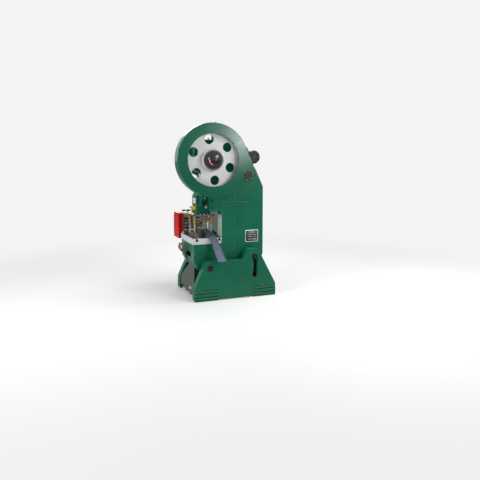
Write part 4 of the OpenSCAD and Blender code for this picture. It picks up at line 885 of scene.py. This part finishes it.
# %% Arrow on the hub
def slab(top, bottom):
    """A closed sheet between two grids of points: both faces and the narrow sides between them."""
    rows, cols = top.shape[:2]
    n = rows * cols
    i, j = np.meshgrid(np.arange(rows - 1), np.arange(cols - 1), indexing="ij")
    a = (i * cols + j).ravel()
    faces = np.stack([a, a + cols, a + cols + 1, a + 1], axis=1).tolist()
    faces += np.stack([n + a, n + a + 1, n + a + cols + 1, n + a + cols], axis=1).tolist()
    grid = np.arange(n).reshape(rows, cols)
    loop = np.concatenate([grid[0, :-1], grid[:-1, -1], grid[-1, :0:-1], grid[:0:-1, 0]])
    after = np.roll(loop, -1)
    faces += np.stack([loop, after, after + n, loop + n], axis=1).tolist()
    return np.concatenate([top.reshape(-1, 3), bottom.reshape(-1, 3)]), faces


def dome_x(radius):
    """Place of the dome's surface along X, by radius, from the points that the CAD profile turns."""
    return GUARD_X - 6 + np.interp(radius, [0, 36, 66, 84, 92], [52, 51, 47, 40, 30])


def arc_arrow(radius, start, stop, half):
    """P(t, s) = (dome_x(r) + 0.9, r cos t, r sin t), with r = radius + s w(t).

    The half width w is half along the arc, jumps to 2.1 half where the head begins and ends at 0.2 mm.
    """
    arc, head = np.linspace(start, stop + 24, 40), np.linspace(stop + 20, stop, 6)
    t = np.radians(np.concatenate([arc, [stop + 23.9], head]))
    w = np.concatenate([np.full(40, half), [2.1 * half], np.linspace(1.75 * half, 0.2, 6)])
    r = radius + w[:, None] * np.linspace(1, -1, 7)
    y, z = r * np.cos(t)[:, None], CRANK_Z + r * np.sin(t)[:, None]
    return slab(at(dome_x(r) + 0.9, y, z), at(dome_x(r) - 0.6, y, z))


pink_gloss = moulded("pink gloss", rgb(226, 124, 136), rough=0.22)
piece("hub_arrow", [arc_arrow(73.0, 252.0, 166.0, 7.0)], "gear", pink_gloss)

# %% [markdown]
# Screws show how the covers come off. They are too small for the solids, and a bump would be
# flat from the side, so each is a small mesh on its face: on the crank cover, on the guard's cap,
# and in the slots of the frame's side. Each slot is a black patch on the face, as painted shade.
# The plug below the bolster and the bronze oil cups on the head are turned profiles.

# %% Screws on the frame
cover_bolts = [shell for x in (-178, 178) for z in (2008, 2100, 2192)
               for shell in hex_bolt(at(x, -270, z), -Y, 11, turn=0.3)]
piece("crank_cover_bolts", cover_bolts, "frame", black_bolt)
cap_screws = []
for t in np.radians(np.arange(6) * 60 + 15):
    spot = at(GUARD_X + 7.6, SHAFT_Y + 62 * math.cos(t), SHAFT_Z + 62 * math.sin(t))
    cap_screws += button_screw(spot, X, 5)
piece("guard_cap_screws", cap_screws, "frame", bright_bolt)
slots, screws = [], []
for y, z in ((70, 1493), (69, 1388)):
    # A black patch stands for each slot: painted shade.
    slots.append(pushed(at(363, y, z), Y, Z, rounded_box(46, 22, 10), 2.0, rim=0.8))
    screws += cap_screw(at(364.8, y, z), X, 12)
piece("jaw_slot_shades", slots, "frame", black_paint)
piece("jaw_screws", screws, "frame", black_bolt)
plug = turned(at(363, -12, 816), X, [(0, -0.2), (15, -0.2), (15, 3), (13, 5), (8, 5), (7, 1.5), (0, 1.5)], 28)
piece("bed_plug", [plug], "frame", black_paint)
oilers = [turned(at(x, y, 2400), Z, [(0, -0.2), (9, -0.2), (9, 6), (15, 9), (15, 26), (12, 30), (0, 32)], 24)
          for x in (-266, 266) for y in (-40, 40)]
piece("oil_cups", oilers, "frame", bronze)
print("screws are on the frame")

# %% [markdown]
# The die set is held down by four straps, so that it can be changed. Each strap has a T-bolt
# whose head fills the slot in the bolster, a nut, and a packing block as high as the die shoe. One
# function makes a strap and is called four times, because they differ only in place and length.
# They stay low enough for the guide bushes to pass beside them at the bottom of the stroke.

# %% Straps on the bolster
def strap(x, y, towards, inner, outer):
    """The bar and bolt shells of a strap about its T-bolt at (x, y).

    The bar reaches inner mm over the shoe and outer mm back to the packing.
    """
    d = np.asarray(towards, float)
    side = np.cross(Z, d)
    middle = at(x, y, SHOE_TOP + 0.1) + d * (inner - outer) / 2000.0
    foot = at(x, y, BOLSTER_TOP + 0.1) - d * (outer - 14) / 1000.0
    bolt = at(x, y, 0)
    rows = [(0, 882), (8, 882), (8, 1000), (7, 1001), (0, 1001)]
    return ([pushed(middle, d, side, rounded_box(inner + outer, 34, 7), 16, rim=1.5),
             pushed(foot, d, side, rounded_box(26, 30, 2), SHOE_TOP - BOLSTER_TOP, rim=0.8)],
            [turned(bolt, Z, rows, 16),
             pushed(at(x, y, 881.5), X, Y, rounded_box(36, 36, 2), 15, rim=1.0),
             turned(at(x, y, SHOE_TOP + 16), Z, [(8.2, 0), (17, 0), (17, 2.6), (16, 3.2), (8.2, 3.2)], 24),
             pushed(at(x, y, SHOE_TOP + 19), X, Y, hexagon(15, 0.4), 13, rim=1.2)])


bars, bolts = [], []
for x, y, towards, inner, outer in ((212, -176, -X, 58, 54), (-212, -176, X, 58, 54),
                                    (72, 176, -Y, 33, 46), (-72, 176, -Y, 33, 46)):
    bar_shells, bolt_shells = strap(x, y, towards, inner, outer)
    bars += bar_shells
    bolts += bolt_shells
piece("strap_bars", bars, "frame", die_steel)
piece("strap_bolts", bolts, "frame", black_bolt)
shoe_screws = [shell for x in (-66, 66) for y in (-150, 134)
               for shell in cap_screw(at(x, y, RAM_Z - 0.3), Z, 14)]
shoe_screws += [shell for x in (-150, 150) for y in (-60, 0, 60)
                for shell in cap_screw(at(x, y, RAM_Z - 0.3), Z, 10)]
piece("upper_shoe_screws", shoe_screws, "ram", bright_bolt)
CHUTE_X, CHUTE_TOP, CHUTE_FALL = 137.0, 1039.0, 0.3894  # the exit chute's upper end, and its fall along x
CHUTE_NORMAL = np.array([0.3629, 0.0, 0.9318])
chute_screws = [shell for x in (300, 336)
                for shell in button_screw(at(x, 5, CHUTE_TOP - CHUTE_FALL * (x - CHUTE_X)), CHUTE_NORMAL, 6)]
piece("exit_chute_screws", chute_screws, "frame", bright_bolt)
edge_screws = [shell for y in (-90, 62) for shell in cap_screw(at(145, y, 1201), X, 9)]
edge_screws += [shell for x in (-90, 0, 90) for shell in cap_screw(at(x, -117, 1201), -Y, 9)]
piece("punch_plate_screws", edge_screws, "ram", bright_bolt)
print("die set is clamped")

# %% [markdown]
# The roll feeder has a bearing flange round each shaft at the back, springs over the two screws
# that load the upper roll, and screws in its red cover. A spring could be a stack of rings, but
# light would show between them, so it is a round wire along a helix,
# P(t) = centre + (R cos t, R sin t, p t / 2 pi).

# %% Feeder details
def coil(centre, radius, wire, height, turns):
    """A coil spring along Z; its first and last turns lie flat, as on a ground spring."""
    t = np.linspace(0, 2 * math.pi * turns, 18 * int(turns) + 1)
    rise = np.clip((t / (2 * math.pi) - 0.75) / (turns - 1.5), 0, 1) * (height - 2 * wire) + wire
    path = np.stack([radius * np.cos(t), radius * np.sin(t), rise], axis=1) / 1000.0
    return swept(np.asarray(centre, float) + path, wire, 8)


springs = [coil(at(x, 0, 1244.2), 13, 1.7, 18, 5) for x in (-540, -480)]
piece("head_springs", springs, "frame", bright_bolt, angle=60)
flanges, flange_screws = [], []
for z in (1001, 1103):
    ring = [(19, -0.3), (36, -0.3), (36, 5), (34, 7), (22, 7), (19, 4), (19, -0.3)]
    flanges.append(turned(at(-560, 200, z), Y, ring, 36))
    for t in np.radians([45, 135, 225, 315]):
        flange_screws += cap_screw(at(-560 + 28.5 * math.cos(t), 206.8, z + 28.5 * math.sin(t)), Y, 6)
piece("roll_flanges", flanges, "frame", black_paint)
piece("roll_flange_screws", flange_screws, "frame", bright_bolt)
red_screws = [shell for x in (-706, -424) for z in (856, 1130)
              for shell in button_screw(at(x, -267.7, z), -Y, 7)]
piece("feeder_cover_screws", red_screws, "frame", bright_bolt)
head_screws = [shell for x in (-662, -590, -530, -458) for y in (-185, 185)
               for shell in cap_screw(at(x, y, 1231.7), Z, 9)]
shelf_screws = [shell for x in (-662, -458) for y in (-100, 100) for shell in hex_bolt(at(x, y, 945), Z, 10)]
piece("feeder_screws", head_screws + shelf_screws, "frame", black_bolt)
print("feeder is detailed")

# %% [markdown]
# Low down, each leg has nuts on its anchor bolts and a black ring round the pivot pin. The legs are
# mirror images, so one side is made and then mirrored, and the mirrored faces are turned round to
# face outwards again. The pedal's tread has ribs against slipping, and a bright catch sits on the
# front of the scrap chute.

# %% Pivots, feet and pedal
def both(shells):
    """The shells and their mirror images: (x, y, z) goes to (-x, y, z), and each face runs backwards."""
    mirror = np.array([-1.0, 1.0, 1.0])
    return shells + [(points * mirror, [face[::-1] for face in faces]) for points, faces in shells]


ring = turned(at(LEG_X - 18, PIVOT_Y, PIVOT_Z), X,
              [(38.6, 0), (51.5, 0), (51.5, 13), (50, 15), (40, 15), (38.6, 13), (38.6, 0)], 40)
piece("pivot_rings", both([ring]), "base", black_paint)
nuts, studs = [], []
for y in (-155, 931):
    nuts += hex_bolt(at(443, y, 40), Z, 24, turn=0.2)
    studs.append(turned(at(443, y, 40), Z, [(0, 1), (12, 1), (12, 40), (10.5, 42), (0, 42)], 20))
piece("anchor_nuts", both(nuts + studs), "base", black_bolt)
treads = [pushed(at(0, y, 75.8), X, Y, rounded_box(168, 5, 2), 2.4, rim=0.8)
          for y in (-280, -268, -256, -244, -232)]
piece("pedal_ribs", treads, "pedal", bright_bolt)
catch = [pushed(at(240, -249.5, 158), X, Z, rounded_box(96, 46, 5), 6, rim=1.5),
         swept(at(np.linspace(200, 286, 12), -264, 150), 8, 16)]
for x in (212, 274):
    catch.append(turned(at(x, -255, 150), -Y, [(0, 0), (11, 0), (11, 12), (9, 17), (0, 17)], 20))
piece("chute_catch", catch, "base", bright_bolt)

# %% [markdown]
# The control box has a lid with a screw in each corner and two bare plates where a real one says
# what its buttons do. The motor sits on a sloping plate, and its terminal box is turned as well, so
# each set of screws gets a direction of its own: along the slope, along the lid's normal, or
# outwards round the fan cover.

# %% Control box and motor
plate("box_lid", at(-195, -288.8, 712), X, Z, 262, 104, 1.6, 5, "frame", gray_box)
plate("box_labels", at(-192, -290.2, 738), X, Z, 64, 20, 0.8, 2, "frame", plate_metal)
plate("box_labels_low", at(-192, -290.2, 688), X, Z, 64, 20, 0.8, 2, "frame", plate_metal)
box_screws = [shell for x in (-320, -70) for z in (666, 758)
              for shell in button_screw(at(x, -290.2, z), -Y, 4)]
piece("box_screws", box_screws, "frame", bright_bolt)
SLOPE_UP, SLOPE_OUT = np.array([0.0, -0.524, 0.8517]), np.array([0.0, 0.8517, 0.524])
slope_foot = at(0, 780, 1945)
plate_bolts = [shell for x in (-0.300, 0.080) for up in (0.044, 0.260)
               for shell in hex_bolt(slope_foot + X * x + SLOPE_UP * up + SLOPE_OUT * 0.044, SLOPE_OUT, 14)]
piece("motor_plate_bolts", plate_bolts, "frame", black_bolt)
MOTOR = at(0, 841.2, 2147.0)
lid_out = np.array([0.0, -math.sin(math.radians(40)), math.cos(math.radians(40))])
lid_side = np.array([0.0, lid_out[2], -lid_out[1]])
lid_screws = [shell for x in (-0.166, -0.054) for side in (-0.051, 0.051)
              for shell in button_screw(MOTOR + X * x + lid_side * side + lid_out * 0.164, lid_out, 4.5)]
fan_screws = [shell for t in np.radians([30, 120, 210, 300])
              for shell in button_screw(MOTOR + X * 0.054 + 0.1068 * (math.cos(t) * Y + math.sin(t) * Z),
                                        math.cos(t) * Y + math.sin(t) * Z, 4.5)]
piece("motor_screws", lid_screws + fan_screws, "frame", bright_bolt)

# %% [markdown]
# The belt guard on the far side has a round window. Woven wire closes it, so that air passes and
# fingers do not. A see-through pattern would be quicker but flat, so each wire is a thin tube.
# Its length is the chord at its height, 2 sqrt(R^2 - h^2), and it waves a little over and under
# the wires that cross it.

# %% Wire mesh of the belt guard
WINDOW_X, WINDOW_R, MESH_STEP = -507.5, 222.0, 24.0


def mesh_wire(h, along, across, phase):
    """P(s) = centre + s along + h across + 1.3 sin(pi s / step + phase) X, for s over the chord at h."""
    half = math.sqrt(WINDOW_R ** 2 - h ** 2)
    s = np.linspace(-half, half, max(6, int(half / 5)))
    wave = 1.3 * np.sin(math.pi * s / MESH_STEP + phase)
    centre = at(WINDOW_X, SHAFT_Y, SHAFT_Z)
    return swept(centre + (s[:, None] * along + h * across + wave[:, None] * X) / 1000.0, 1.3, 6)


wires = []
for k, h in enumerate(np.arange(-204.0, 205.0, MESH_STEP)):
    wires.append(mesh_wire(h, Y, Z, math.pi * (k % 2)))
    wires.append(mesh_wire(h, Z, Y, math.pi * ((k + 1) % 2)))
piece("belt_guard_mesh", wires, "frame", bright_bolt, angle=60)
window_screws = []
for t in np.radians(np.arange(8) * 45 + 22.5):
    spot = at(-514, SHAFT_Y + 236 * math.cos(t), SHAFT_Z + 236 * math.sin(t))
    window_screws += button_screw(spot, -X, 6)
piece("belt_guard_screws", window_screws, "frame", bright_bolt)
